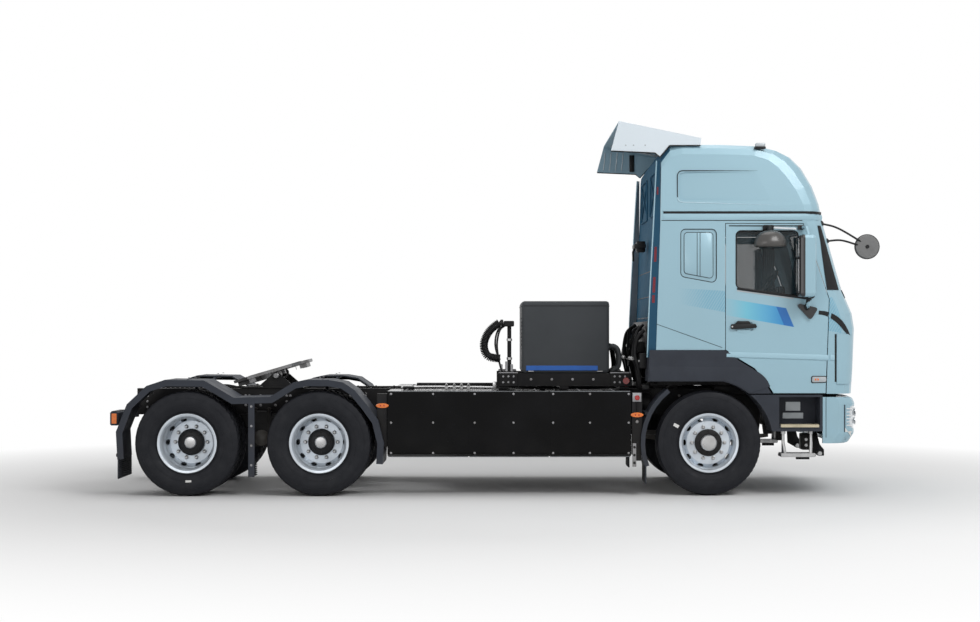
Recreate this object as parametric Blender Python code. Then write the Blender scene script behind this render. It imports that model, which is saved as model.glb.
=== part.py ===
"""Battery-electric six-wheel tractor unit with a tilting high-roof sleeper cab, built in metres.

X points forward, Y to the left and Z up. The ground is at Z = 0 and the origin is the middle of the
footprint. Left pieces are built at positive Y and right ones are their mirror images.
"""

import math

import bmesh
import bpy
from mathutils import Matrix, Vector

# Clearances
SEAT_GAP = 0.0003
RUN_GAP = 0.006
PIN_GAP = 0.0004
BALL_GAP = 0.0007
MERGE = 0.00001

# Overall reach from the middle of the footprint to the tail lamps and to the front mirror
REACH = 3.97

# Axles and tyres
FRONT_AXLE_X = 2.175
FRONT_TO_MID = 4.0
BOGIE_SPACING = 1.35
MID_AXLE_X = FRONT_AXLE_X - FRONT_TO_MID
REAR_AXLE_X = MID_AXLE_X - BOGIE_SPACING
BOGIE_X = (MID_AXLE_X + REAR_AXLE_X) / 2
AXLE_Z = 0.54
TYRE_WIDTH = 0.30
TYRE_SIDES = 20
RIM_SIDES = 18
SPINDLE_SIDES = 12
BORE_SIDES = 16
TYRE_RADIUS = AXLE_Z / math.cos(math.pi / TYRE_SIDES)
RIM_SEAT_RADIUS = 0.287
RIM_LIP_RADIUS = 0.305
RIM_THICKNESS = 0.014
BEAD_HALF_WIDTH = 0.105
FRONT_WHEEL_Y = 1.02
TWIN_Y = 0.93
TWIN_SPACING = 0.335
SPINDLE_RADIUS = 0.045
KINGPIN_Y = 0.87
KINGPIN_RADIUS = 0.024
STEERING_ARM = 0.20
TIE_ROD_X = FRONT_AXLE_X - STEERING_ARM
TIE_ROD_Y = KINGPIN_Y
TIE_ROD_Z = 0.375
TIE_ROD_PIN_RADIUS = 0.012
TIE_ROD_EYE_HALF = 0.025
TIE_ROD_EYE_RADIUS = 0.030

# Frame
FRAME_HALF_WIDTH = 0.425
FRAME_TOP = 1.08
RAIL_HEIGHT = 0.28
RAIL_FLANGE = 0.08
RAIL_WEB = 0.012
FRAME_FRONT_X = 3.63
FRAME_REAR_X = -3.85
FRAME_BOTTOM = FRAME_TOP - RAIL_HEIGHT

# Cab
CAB_HALF_WIDTH = 1.21
DEEP_Y = CAB_HALF_WIDTH - 0.21
PAST_Y = CAB_HALF_WIDTH + 0.19
CLEAR_Y = CAB_HALF_WIDTH + 0.29
INNER_Y = CAB_HALF_WIDTH - 0.35
SEAT_Y = CAB_HALF_WIDTH - 0.60
CAB_WALL = 0.05
CAB_REAR_X = 1.618
CAB_REAR_TOP_X = 1.669
CAB_SILL_Z = 1.497
CAB_APRON_Z = 1.08
ROOF_SEAM_Z = 2.822
ROOF_GROOVE_Z = (2.892, 2.918)
ROOF_GROOVE_DEPTH = 0.008
ROOF_PANEL_DEPTH = 0.026
ROOF_PANEL_END = 2.90
REAR_PANEL_INNER_Y = 0.13
ROOF_TOP_Z = 3.65
CORNER_RADIUS = 0.16
FRONT_CROWN = 0.07
FRONT_CROWN_AT = 0.95
ROOF_CROWN = 0.045
ROOF_EDGE_RADIUS = 0.10
ROOF_LEAN = 0.045
FLOOR_TOP = CAB_SILL_Z - SEAT_GAP
FLOOR_THICKNESS = 0.05
TILT_X = 3.58
TILT_Z = 0.86
TILT_ARM_Y = (FRAME_HALF_WIDTH + 0.03, FRAME_HALF_WIDTH + 0.08)
TILT_PIN_RADIUS = 0.02
ARCH_RADIUS = 0.65
WINDSCREEN_SLOPE = 0.272

FRONT_MIRROR_RADIUS = 0.13
MIRROR_REACH_Y = CAB_HALF_WIDTH + 0.28
MIRROR_MAST_Y = CAB_HALF_WIDTH + 0.17
KERB_MIRROR_Y = CAB_HALF_WIDTH + 0.135

# Doors
DOOR_REAR_X = 2.332
DOOR_FRONT_X = 3.40
DOOR_TOP_Z = 2.795
DOOR_BOTTOM_Z = 1.055
DOOR_SEAM = 0.007
DOOR_THICKNESS = 0.06
DOOR_REBATE = 0.010
DOOR_HINGE_X = 3.435
DOOR_HINGE_Y = CAB_HALF_WIDTH - 0.018
DOOR_PIN_RADIUS = 0.004
DOOR_EYE_RADIUS = 0.008
HINGE_LEVELS = (1.51, 1.78)
HINGE_HEIGHT = 0.05
GLASS_THICKNESS = 0.006

# Battery boxes
BATTERY_REAR_X = -1.127
BATTERY_FRONT_X = 1.373
BATTERY_TOP = FRAME_TOP - 0.005
BATTERY_BOTTOM = 0.40
BATTERY_OUTER_Y = 1.19

# Rear fenders
FENDER_INNER_Y = 0.615
FENDER_OUTER_Y = 1.25
FENDER_SKIN = 0.014
FENDER_LIP = 0.065

# Fifth wheel
COUPLING_X = -2.37
COUPLING_Z = 1.215
COUPLING_TILT = 16.3

AXIS = {"X": Vector((1, 0, 0)), "Y": Vector((0, 1, 0)), "Z": Vector((0, 0, 1))}
LAYOUT = {"X": (1, 2, 0), "Y": (0, 2, 1), "Z": (0, 1, 2)}


def clear_scene():
    for item in list(bpy.data.objects):
        bpy.data.objects.remove(item, do_unlink=True)


def make_object(name, bm):
    bmesh.ops.remove_doubles(bm, verts=bm.verts, dist=MERGE)
    bmesh.ops.recalc_face_normals(bm, faces=bm.faces)
    mesh = bpy.data.meshes.new(name)
    bm.to_mesh(mesh)
    bm.free()
    item = bpy.data.objects.new(name, mesh)
    bpy.context.scene.collection.objects.link(item)
    return item


def prism(outline, axis, low, high):
    """Extrude an outline, given in the other two axes in X, Y, Z order, from low to high along an axis."""
    bm = bmesh.new()
    first, second, along = LAYOUT[axis]
    rings = []
    for level in (low, high):
        ring = []
        for a, b in outline:
            place = [0.0, 0.0, 0.0]
            place[first] = a
            place[second] = b
            place[along] = level
            ring.append(bm.verts.new(place))
        rings.append(ring)
        bm.faces.new(ring)
    count = len(outline)
    for i in range(count):
        j = (i + 1) % count
        bm.faces.new((rings[0][i], rings[0][j], rings[1][j], rings[1][i]))
    return make_object("prism", bm)


def block(x, y, z, bevel=0.0, segments=1):
    """A box between pairs of coordinates, its edges bevelled where a width is given."""
    bm = bmesh.new()
    size = Vector((x[1] - x[0], y[1] - y[0], z[1] - z[0]))
    middle = Vector((x[1] + x[0], y[1] + y[0], z[1] + z[0])) / 2
    bmesh.ops.create_cube(bm, size=1.0, matrix=Matrix.Translation(middle) @ Matrix.Diagonal((*size, 1.0)))
    if bevel:
        bmesh.ops.bevel(bm, geom=bm.edges[:], offset=bevel, segments=segments, profile=0.5, affect="EDGES")
    return make_object("block", bm)


def lathe(profile, centre, axis, sides):
    """Turn (radius, along) points about an axis through centre, with a flat facet straight below it."""
    bm = bmesh.new()
    along = AXIS[axis]
    down = Vector((1, 0, 0)) if axis == "Z" else Vector((0, 0, -1))
    start = Matrix.Rotation(math.pi / sides, 3, along) @ down
    points = [bm.verts.new(start * radius + along * offset) for radius, offset in profile]
    edges = [bm.edges.new(pair) for pair in zip(points, points[1:])]
    if profile[0][0] > MERGE:
        edges.append(bm.edges.new((points[-1], points[0])))
    bmesh.ops.spin(bm, geom=points + edges, cent=(0, 0, 0), axis=along, angle=math.tau,
                   steps=sides, use_merge=True)
    bmesh.ops.translate(bm, verts=bm.verts, vec=centre)
    return make_object("lathe", bm)


def cylinder(start, end, radius, sides=12):
    """A round bar between two points."""
    return pipe([start, end], radius, sides)


def pipe(points, radius, sides=6):
    """A round bar along a line of points, closed at both ends."""
    bm = bmesh.new()
    points = [Vector(point) for point in points]
    normal = (points[1] - points[0]).orthogonal().normalized()
    rings = []
    for i, point in enumerate(points):
        tangent = (points[min(i + 1, len(points) - 1)] - points[max(i - 1, 0)]).normalized()
        normal = (normal - tangent * normal.dot(tangent)).normalized()
        across = tangent.cross(normal)
        ring = []
        for k in range(sides):
            angle = math.tau * (k + 0.5) / sides
            ring.append(bm.verts.new(point + (normal * math.cos(angle) + across * math.sin(angle)) * radius))
        rings.append(ring)
    bm.faces.new(rings[0])
    bm.faces.new(rings[-1])
    for one, two in zip(rings, rings[1:]):
        for k in range(sides):
            n = (k + 1) % sides
            bm.faces.new((one[k], one[n], two[n], two[k]))
    return make_object("pipe", bm)


def rounded(outline, radius, steps=2):
    """Turn each corner of a closed outline into an arc; a corner's third value is its own radius."""
    result = []
    count = len(outline)
    for i, corner in enumerate(outline):
        here = Vector(corner[:2])
        before = Vector(outline[i - 1][:2]) - here
        after = Vector(outline[(i + 1) % count][:2]) - here
        arc = corner[2] if len(corner) > 2 else radius
        half = before.angle(after) / 2
        reach = min(arc / math.tan(half), before.length * 0.48, after.length * 0.48)
        if reach < MERGE or half > 1.55:
            result.append(tuple(here))
            continue
        true_radius = reach * math.tan(half)
        bisector = (before.normalized() + after.normalized()).normalized()
        middle = here + bisector * true_radius / math.sin(half)
        one = here + before.normalized() * reach - middle
        two = here + after.normalized() * reach - middle
        turn = one.angle_signed(two)
        for k in range(steps + 1):
            point = one.copy()
            point.rotate(Matrix.Rotation(-turn * k / steps, 2))
            result.append(tuple(middle + point))
    return result


def inset(outline, depth):
    """Move every side of a closed outline inwards by a depth."""
    area = sum(a[0] * b[1] - b[0] * a[1] for a, b in zip(outline, outline[1:] + outline[:1]))
    turn = 1 if area > 0 else -1
    result = []
    count = len(outline)
    for i, corner in enumerate(outline):
        here = Vector(corner[:2])
        along = (here - Vector(outline[i - 1][:2])).normalized()
        onward = (Vector(outline[(i + 1) % count][:2]) - here).normalized()
        one = Vector((-along.y, along.x)) * turn
        two = Vector((-onward.y, onward.x)) * turn
        result.append(tuple(here + (one + two) * depth / (1 + one.dot(two))))
    return result


def band(path, depth):
    """The closed strip between an open path and its copy a depth to its right."""
    inner = []
    for i, point in enumerate(path):
        here = Vector(point)
        along = (here - Vector(path[i - 1])).normalized() if i else None
        onward = (Vector(path[i + 1]) - here).normalized() if i + 1 < len(path) else None
        along = along or onward
        onward = onward or along
        one = Vector((along.y, -along.x))
        two = Vector((onward.y, -onward.x))
        inner.append(tuple(here + (one + two) * depth / (1 + one.dot(two))))
    return list(path) + inner[::-1]


def lipped_skin(path, skin, lip, inner_y, outer_y):
    """A skin that follows a path, with a deeper lip on its outer side, both cut from one thick band."""
    shell = prism(band(path, lip), "Y", inner_y, outer_y)
    under = [Vector(point) for point in band(path, skin)[len(path):][::-1]]
    under[0] += (under[0] - under[1]).normalized() * lip
    under[-1] += (under[-1] - under[-2]).normalized() * lip
    return cut(shell, prism(band([tuple(p) for p in under], lip), "Y", inner_y - lip, outer_y - skin))


def smooth(points, each=6):
    """A smooth curve through the points."""
    points = [Vector(point) for point in points]
    ends = [points[0] * 2 - points[1]] + points + [points[-1] * 2 - points[-2]]
    result = []
    for a, b, c, d in zip(ends, ends[1:], ends[2:], ends[3:]):
        for k in range(each):
            t = k / each
            result.append(((b * 2) + (c - a) * t + (a * 2 - b * 5 + c * 4 - d) * t * t
                           + (b * 3 - a - c * 3 + d) * t ** 3) / 2)
    return result + [points[-1]]


def combine(base, tool, operation):
    modifier = base.modifiers.new(operation, "BOOLEAN")
    modifier.operation = operation
    modifier.solver = "EXACT"
    modifier.object = tool
    graph = bpy.context.evaluated_depsgraph_get()
    mesh = bpy.data.meshes.new_from_object(base.evaluated_get(graph))
    base.modifiers.clear()
    base.data = mesh
    bpy.data.objects.remove(tool, do_unlink=True)
    return base


def fuse(base, *pieces):
    for piece in pieces:
        combine(base, piece, "UNION")
    return base


def cut(base, *tools):
    for tool in tools:
        combine(base, tool, "DIFFERENCE")
    return base


def keep(base, tool):
    return combine(base, tool, "INTERSECT")


def copy_of(item):
    twin = item.copy()
    twin.data = item.data.copy()
    bpy.context.scene.collection.objects.link(twin)
    return twin


def transform(item, matrix):
    item.data.transform(matrix)
    if matrix.determinant() < 0:
        item.data.flip_normals()
    return item


def mirrored(item):
    """The same piece on the other side of the vehicle."""
    return transform(copy_of(item), Matrix.Diagonal((1, -1, 1, 1)))


def turned(item, degrees, axis, centre):
    place = Matrix.Translation(centre)
    return transform(item, place @ Matrix.Rotation(math.radians(degrees), 4, axis) @ place.inverted())


def paint(name, colour, roughness, metallic=0.0, alpha=1.0):
    material = bpy.data.materials.new(name)
    material.use_nodes = True
    shader = material.node_tree.nodes["Principled BSDF"]
    shader.inputs["Base Color"].default_value = (*colour, 1.0)
    shader.inputs["Roughness"].default_value = roughness
    shader.inputs["Metallic"].default_value = metallic
    shader.inputs["Alpha"].default_value = alpha
    return material


def finish(item, name, colour, roughness, metallic=0.0, alpha=1.0, pivot=(0, 0, 0), sharp=32):
    """Name a piece, give it its material, put its origin on its pivot and shade it."""
    item.name = name
    item.data.name = name
    item.data.transform(Matrix.Translation(-Vector(pivot)))
    item.location = pivot
    item.data.materials.clear()
    item.data.materials.append(paint(name, colour, roughness, metallic, alpha))
    item.data.shade_smooth()
    item.data.set_sharp_from_angle(angle=math.radians(sharp))
    return item


def pair(item, name, *look, pivot=(0, 0, 0), **more):
    """Finish a left piece and its mirror image on the right."""
    other = mirrored(item)
    finish(item, name + "_left", *look, pivot=pivot, **more)
    finish(other, name + "_right", *look, pivot=(pivot[0], -pivot[1], pivot[2]), **more)


BODY_BLUE = (0.31, 0.50, 0.60)
DARK_PLASTIC = (0.045, 0.05, 0.055)
BLACK_STEEL = (0.012, 0.012, 0.013)
SILVER = (0.55, 0.56, 0.58)
TYRE_BLACK = (0.015, 0.015, 0.016)
GLASS_TINT = (0.02, 0.03, 0.035)
LAMP_CLEAR = (0.6, 0.62, 0.65)
TRIM_GREY = (0.12, 0.12, 0.125)
STEEL = (0.16, 0.16, 0.17)


def bore_radius(pin_radius, sides, gap=PIN_GAP):
    """The corner radius of a many-sided bore that clears a round pin by a gap."""
    return (pin_radius + gap) / math.cos(math.pi / sides)


# Wheels

def tyre(y):
    """A tyre with a crowned tread and bulged walls, a plain ring inside the beads."""
    half = TYRE_WIDTH / 2
    tread = TYRE_RADIUS
    seat = RIM_SEAT_RADIUS + SEAT_GAP
    profile = [
        (seat, -BEAD_HALF_WIDTH),
        (RIM_LIP_RADIUS + 0.012, -BEAD_HALF_WIDTH),
        (tread * 0.77, -half),
        (tread * 0.96, -half * 0.94),
        (tread, -half * 0.80),
        (tread, half * 0.80),
        (tread * 0.96, half * 0.94),
        (tread * 0.77, half),
        (RIM_LIP_RADIUS + 0.012, BEAD_HALF_WIDTH),
        (seat, BEAD_HALF_WIDTH),
    ]
    return lathe([(r / math.cos(math.pi / TYRE_SIDES) if r == seat else r, u) for r, u in profile],
                 (0, y, 0), "Y", TYRE_SIDES)


def rim_barrel(side, middle):
    """Half of a rim outline from its middle side to its outer lip; side is the outward direction."""
    lip = BEAD_HALF_WIDTH + SEAT_GAP
    inner = RIM_SEAT_RADIUS - RIM_THICKNESS
    return [
        (RIM_SEAT_RADIUS, middle - side * BEAD_HALF_WIDTH),
        (RIM_SEAT_RADIUS, middle + side * lip),
        (RIM_LIP_RADIUS, middle + side * lip),
        (RIM_LIP_RADIUS, middle + side * (lip + RIM_THICKNESS)),
        (inner, middle + side * (lip - RIM_THICKNESS)),
    ]


def twin_rims():
    """Two dished rims bolted back to back on a hub with its brake drum, the hub bored for the spindle."""
    offset = TWIN_SPACING / 2
    disc = 0.014
    bore = bore_radius(SPINDLE_RADIUS, RIM_SIDES)
    inner = RIM_SEAT_RADIUS - RIM_THICKNESS
    outward = rim_barrel(1, offset)
    inward = rim_barrel(-1, -offset)
    profile = [
        (0.0, 0.118),
        (0.060, 0.114),
        (0.064, 0.084),
        (0.1375, 0.062),
        (0.1375, disc),
        (0.215, disc),
        (inner, offset - BEAD_HALF_WIDTH + 0.02),
        *outward[::-1],
        (0.245, 0.0),
        *inward,
        (inner, -offset + BEAD_HALF_WIDTH - 0.02),
        (0.205, -disc),
        (0.205, -0.225),
        (bore, -0.24),
        (bore, 0.06),
        (0.0, 0.06),
    ]
    return lathe(profile, (0, 0, 0), "Y", RIM_SIDES)


def front_rim():
    """A front rim with its disc near the outer side and a hub that stands proud."""
    bore = bore_radius(SPINDLE_RADIUS, RIM_SIDES)
    inner = RIM_SEAT_RADIUS - RIM_THICKNESS
    lip = BEAD_HALF_WIDTH + SEAT_GAP
    profile = [
        (0.0, 0.125),
        (0.080, 0.120),
        (0.084, 0.072),
        (0.140, 0.068),
        (0.140, 0.045),
        (0.225, 0.045),
        (inner, 0.012),
        *rim_barrel(1, 0.0)[:0:-1],
        (RIM_SEAT_RADIUS, -lip),
        (RIM_LIP_RADIUS, -lip),
        (RIM_LIP_RADIUS, -lip - RIM_THICKNESS),
        (inner, -lip + RIM_THICKNESS),
        (inner, -0.004),
        (0.205, 0.028),
        (0.205, -0.075),
        (bore, -0.085),
        (bore, 0.05),
        (0.0, 0.05),
    ]
    return lathe(profile, (0, 0, 0), "Y", RIM_SIDES)


def build_wheels():
    front = Vector((FRONT_AXLE_X, FRONT_WHEEL_Y, AXLE_Z))
    rim = transform(front_rim(), Matrix.Translation(front))
    pair(rim, "rim_front", SILVER, 0.35, 0.9, pivot=front)
    rubber = transform(tyre(0.0), Matrix.Translation(front))
    pair(rubber, "tyre_front", TYRE_BLACK, 0.8, pivot=front)
    for where, x in (("mid", MID_AXLE_X), ("rear", REAR_AXLE_X)):
        hub = Vector((x, TWIN_Y, AXLE_Z))
        pair(transform(twin_rims(), Matrix.Translation(hub)), "rims_" + where, SILVER, 0.35, 0.9, pivot=hub)
        for place, side in (("outer", 1), ("inner", -1)):
            rubber = transform(tyre(side * TWIN_SPACING / 2), Matrix.Translation(hub))
            pair(rubber, "tyre_" + where + "_" + place, TYRE_BLACK, 0.8, pivot=hub)


# Axles and steering

def spindle_end(wheel_y, blind):
    """The end of a spindle in a wheel whose blind bore ends that far out from its middle."""
    return wheel_y + blind - SEAT_GAP


def build_knuckles():
    pivot = Vector((FRONT_AXLE_X, KINGPIN_Y, AXLE_Z))
    yoke = block((pivot.x - 0.05, pivot.x + 0.05), (KINGPIN_Y + 0.046, KINGPIN_Y + 0.058),
                 (AXLE_Z - 0.115, AXLE_Z + 0.115), 0.008)
    lugs = []
    for low in (AXLE_Z + 0.068, AXLE_Z - 0.112):
        lugs.append(cylinder((pivot.x, KINGPIN_Y, low), (pivot.x, KINGPIN_Y, low + 0.044), 0.05))
        lugs.append(block((pivot.x - 0.05, pivot.x + 0.05), (KINGPIN_Y, KINGPIN_Y + 0.05),
                          (low + 0.001, low + 0.043)))
    pin = cylinder((pivot.x, KINGPIN_Y, AXLE_Z - 0.10), (pivot.x, KINGPIN_Y, AXLE_Z + 0.10), KINGPIN_RADIUS)
    plate = cylinder((pivot.x, KINGPIN_Y + 0.042, AXLE_Z), (pivot.x, KINGPIN_Y + 0.054, AXLE_Z), 0.17, 16)
    spindle = cylinder((pivot.x, KINGPIN_Y + 0.045, AXLE_Z),
                       (pivot.x, spindle_end(FRONT_WHEEL_Y, 0.05), AXLE_Z), SPINDLE_RADIUS, SPINDLE_SIDES)
    arm_z = TIE_ROD_Z + TIE_ROD_EYE_HALF + BALL_GAP
    arm = prism(rounded([(TIE_ROD_X - 0.03, TIE_ROD_Y - 0.03), (TIE_ROD_X - 0.03, TIE_ROD_Y + 0.025),
                         (pivot.x - 0.02, KINGPIN_Y + 0.045), (pivot.x + 0.02, KINGPIN_Y),
                         (pivot.x - 0.02, KINGPIN_Y - 0.035)], 0.012), "Z", arm_z, arm_z + 0.035)
    stud = cylinder((TIE_ROD_X, TIE_ROD_Y, TIE_ROD_Z - 0.03), (TIE_ROD_X, TIE_ROD_Y, arm_z + 0.02),
                    TIE_ROD_PIN_RADIUS, 8)
    knuckle = fuse(yoke, *lugs, pin, plate, spindle, arm, stud)
    pair(knuckle, "knuckle", STEEL, 0.5, 0.6, pivot=pivot)


def build_tie_rod():
    """A tube between the two steering arms with a bored eye on each stud.

    The studs stand straight behind the kingpins, so both wheels turn alike.
    """
    inner = TIE_ROD_Y - TIE_ROD_EYE_RADIUS + 0.006
    rod = cylinder((TIE_ROD_X, -inner, TIE_ROD_Z), (TIE_ROD_X, inner, TIE_ROD_Z), 0.021, 10)
    for side in (1, -1):
        y = side * TIE_ROD_Y
        bore = bore_radius(TIE_ROD_PIN_RADIUS, 10, BALL_GAP)
        half = TIE_ROD_EYE_HALF
        eye = lathe([(bore, -half), (bore, half), (TIE_ROD_EYE_RADIUS, half), (TIE_ROD_EYE_RADIUS, -half)],
                    (TIE_ROD_X, y, TIE_ROD_Z), "Z", 10)
        fuse(rod, eye)
    finish(rod, "tie_rod", STEEL, 0.5, 0.6, pivot=(TIE_ROD_X, TIE_ROD_Y, TIE_ROD_Z))


FRONT_SPRING_Y = 0.425
FRONT_SPRING_Z = 0.555
FRONT_SPRING_HALF = 0.72


def leaf_pack(x, half, z, rise, thick, y, width):
    """A leaf spring: an arched pack, thick in the middle and thin at its ends."""
    upper = []
    lower = []
    for k in range(7):
        t = k / 3 - 1
        level = z + rise * t * t
        upper.append((x + half * t, level + 0.02))
        lower.append((x + half * t, level - 0.012 - (thick - 0.02) * (1 - abs(t))))
    return prism(upper + lower[::-1], "Y", y - width / 2, y + width / 2)


def build_front_axle():
    """A forged beam with dropped middle and kingpin eyes, under two leaf packs with their clamps."""
    beam_z = AXLE_Z - 0.10
    low = [(-KINGPIN_Y, AXLE_Z - 0.045), (-0.66, AXLE_Z - 0.045), (-0.52, beam_z - 0.06),
           (0.52, beam_z - 0.06),
           (0.66, AXLE_Z - 0.045), (KINGPIN_Y, AXLE_Z - 0.045)]
    high = [(KINGPIN_Y, AXLE_Z + 0.045), (0.62, AXLE_Z + 0.045), (0.50, beam_z + 0.05),
            (-0.50, beam_z + 0.05),
            (-0.62, AXLE_Z + 0.045), (-KINGPIN_Y, AXLE_Z + 0.045)]
    beam = prism(low + high, "X", FRONT_AXLE_X - 0.038, FRONT_AXLE_X + 0.038)
    for side in (1, -1):
        pin_y = side * KINGPIN_Y
        fuse(beam, cylinder((FRONT_AXLE_X, pin_y, AXLE_Z - 0.062), (FRONT_AXLE_X, pin_y, AXLE_Z + 0.062),
                            0.04))
        cut(beam, cylinder((FRONT_AXLE_X, pin_y, AXLE_Z - 0.2), (FRONT_AXLE_X, pin_y, AXLE_Z + 0.2),
                           bore_radius(KINGPIN_RADIUS, BORE_SIDES), BORE_SIDES))
        y = side * FRONT_SPRING_Y
        fuse(beam, leaf_pack(FRONT_AXLE_X, FRONT_SPRING_HALF, FRONT_SPRING_Z, 0.02, 0.085, y, 0.085))
        clamp = block((FRONT_AXLE_X - 0.09, FRONT_AXLE_X + 0.09), (y - 0.06, y + 0.06),
                      (beam_z + 0.01, FRONT_SPRING_Z + 0.045), 0.008)
        fuse(beam, clamp)
    finish(beam, "front_axle", STEEL, 0.55, 0.5)


def build_drive_axles():
    """Two banjo housings with tapered tubes and spindles, each with the shaft that drives it."""
    for name, x, shaft_to in (("mid_axle", MID_AXLE_X, -0.60),
                              ("rear_axle", REAR_AXLE_X, MID_AXLE_X - 0.215)):
        tube_end = TWIN_Y - 0.24 - 0.03
        profile = [(0.0, -tube_end), (0.105, -tube_end), (0.105, -0.56), (0.075, -0.54), (0.085, -0.30),
                   (0.150, -0.16),
                   (0.200, -0.06), (0.200, 0.06), (0.150, 0.16), (0.085, 0.30), (0.075, 0.54),
                   (0.105, 0.56),
                   (0.105, tube_end), (0.0, tube_end)]
        housing = lathe(profile, (x, 0, AXLE_Z), "Y", 16)
        reach = spindle_end(TWIN_Y, 0.06)
        fuse(housing, cylinder((x, -reach, AXLE_Z), (x, reach, AXLE_Z), SPINDLE_RADIUS, SPINDLE_SIDES))
        nose = cylinder((x + 0.05, 0, AXLE_Z + 0.04), (x + 0.30, 0, AXLE_Z + 0.13), 0.105, 10)
        shaft = pipe([(x + 0.25, 0, AXLE_Z + 0.115), (shaft_to - 0.10, 0, AXLE_Z + 0.16),
                      (shaft_to, 0, AXLE_Z + 0.16)], 0.045, 10)
        fuse(housing, nose, shaft)
        if name == "mid_axle":
            fuse(housing, cylinder((x - 0.05, 0, AXLE_Z + 0.16), (x - 0.215 + SEAT_GAP, 0, AXLE_Z + 0.16),
                                   0.055, 10))
        finish(housing, name, BLACK_STEEL, 0.55, 0.4)


BOGIE_SPRING_Y = 0.515


def build_bogie_suspension():
    """The trunnion beam with a saddle and an inverted leaf pack on each side, hung from the rails."""
    trunnion_z = 0.56
    spring_z = 0.80
    beam = cylinder((BOGIE_X, -0.555, trunnion_z), (BOGIE_X, 0.555, trunnion_z), 0.06)
    for side in (1, -1):
        y = side * BOGIE_SPRING_Y
        half = BOGIE_SPACING / 2 + 0.06
        pack = leaf_pack(BOGIE_X, half, spring_z, -0.125, 0.15, y, 0.09)
        saddle = prism(rounded([(BOGIE_X - 0.15, spring_z - 0.02), (BOGIE_X - 0.08, trunnion_z - 0.09),
                                (BOGIE_X + 0.08, trunnion_z - 0.09),
                                (BOGIE_X + 0.15, spring_z - 0.02)], 0.03),
                       "Y", y - 0.055, y + 0.055)
        clamp = block((BOGIE_X - 0.11, BOGIE_X + 0.11), (y - 0.056, y + 0.056),
                      (spring_z - 0.10, spring_z + 0.045), 0.01)
        hanger = prism([(BOGIE_X - 0.20, FRAME_BOTTOM - SEAT_GAP), (BOGIE_X - 0.07, trunnion_z - 0.05),
                        (BOGIE_X + 0.07, trunnion_z - 0.05), (BOGIE_X + 0.20, FRAME_BOTTOM - SEAT_GAP)],
                       "Y", side * 0.37, side * 0.42)
        fuse(beam, pack, saddle, clamp, hanger)
        for axle_x in (MID_AXLE_X, REAR_AXLE_X):
            low = AXLE_Z + 0.105 + SEAT_GAP
            fuse(beam, block((axle_x - 0.05, axle_x + 0.05), (y - 0.045, y + 0.045),
                             (low - 0.03, spring_z - 0.10)))
            cut(beam, cylinder((axle_x, y - 0.1, AXLE_Z), (axle_x, y + 0.1, AXLE_Z), 0.112, 16))
    finish(beam, "bogie_suspension", BLACK_STEEL, 0.6, 0.3)


# Frame

def rail(side):
    """A channel rail with its flanges turned inwards."""
    outer = side * FRAME_HALF_WIDTH
    web = side * (FRAME_HALF_WIDTH - RAIL_WEB)
    inner = side * (FRAME_HALF_WIDTH - RAIL_FLANGE)
    section = [(outer, FRAME_BOTTOM), (outer, FRAME_TOP), (inner, FRAME_TOP), (inner, FRAME_TOP - RAIL_WEB),
               (web, FRAME_TOP - RAIL_WEB), (web, FRAME_BOTTOM + RAIL_WEB),
               (inner, FRAME_BOTTOM + RAIL_WEB),
               (inner, FRAME_BOTTOM)]
    return prism(section, "X", FRAME_REAR_X, FRAME_FRONT_X)


def crossmember(x, depth=0.18, wide=0.10):
    """A channel between the rails, open towards the rear."""
    half = FRAME_HALF_WIDTH - RAIL_WEB / 2
    middle = (FRAME_TOP + FRAME_BOTTOM) / 2
    section = [(x, middle - depth / 2), (x, middle + depth / 2), (x - wide, middle + depth / 2),
               (x - wide, middle + depth / 2 - RAIL_WEB), (x - RAIL_WEB, middle + depth / 2 - RAIL_WEB),
               (x - RAIL_WEB, middle - depth / 2 + RAIL_WEB), (x - wide, middle - depth / 2 + RAIL_WEB),
               (x - wide, middle - depth / 2)]
    return prism(section, "Y", -half, half)


def front_mudguard():
    """The curved guard behind the front wheel with its flap and the stay that carries it."""
    inner = ARCH_RADIUS + 0.012
    path = []
    for k in range(8):
        angle = math.radians(128 + 62 * k / 7)
        path.append((FRONT_AXLE_X + (inner + 0.045) * math.cos(angle),
                     AXLE_Z + (inner + 0.045) * math.sin(angle)))
    path.append((path[-1][0] + 0.035, 0.30))
    inner_y = INNER_Y
    outer_y = CAB_HALF_WIDTH - 0.01
    skin = lipped_skin(path[::-1], 0.012, 0.045, inner_y, outer_y)
    flap_x = path[-1][0]
    flap = block((flap_x, flap_x + 0.014), (inner_y + 0.01, outer_y - 0.005), (0.13, 0.36))
    stay = cylinder((path[3][0], FRAME_HALF_WIDTH + SEAT_GAP, path[3][1]),
                    (path[3][0], outer_y - 0.04, path[3][1]), 0.02, 8)
    return fuse(skin, flap, stay)


TAIL_LAMP_Z = 0.793
TAIL_LAMP_HEIGHT = 0.142


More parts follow.
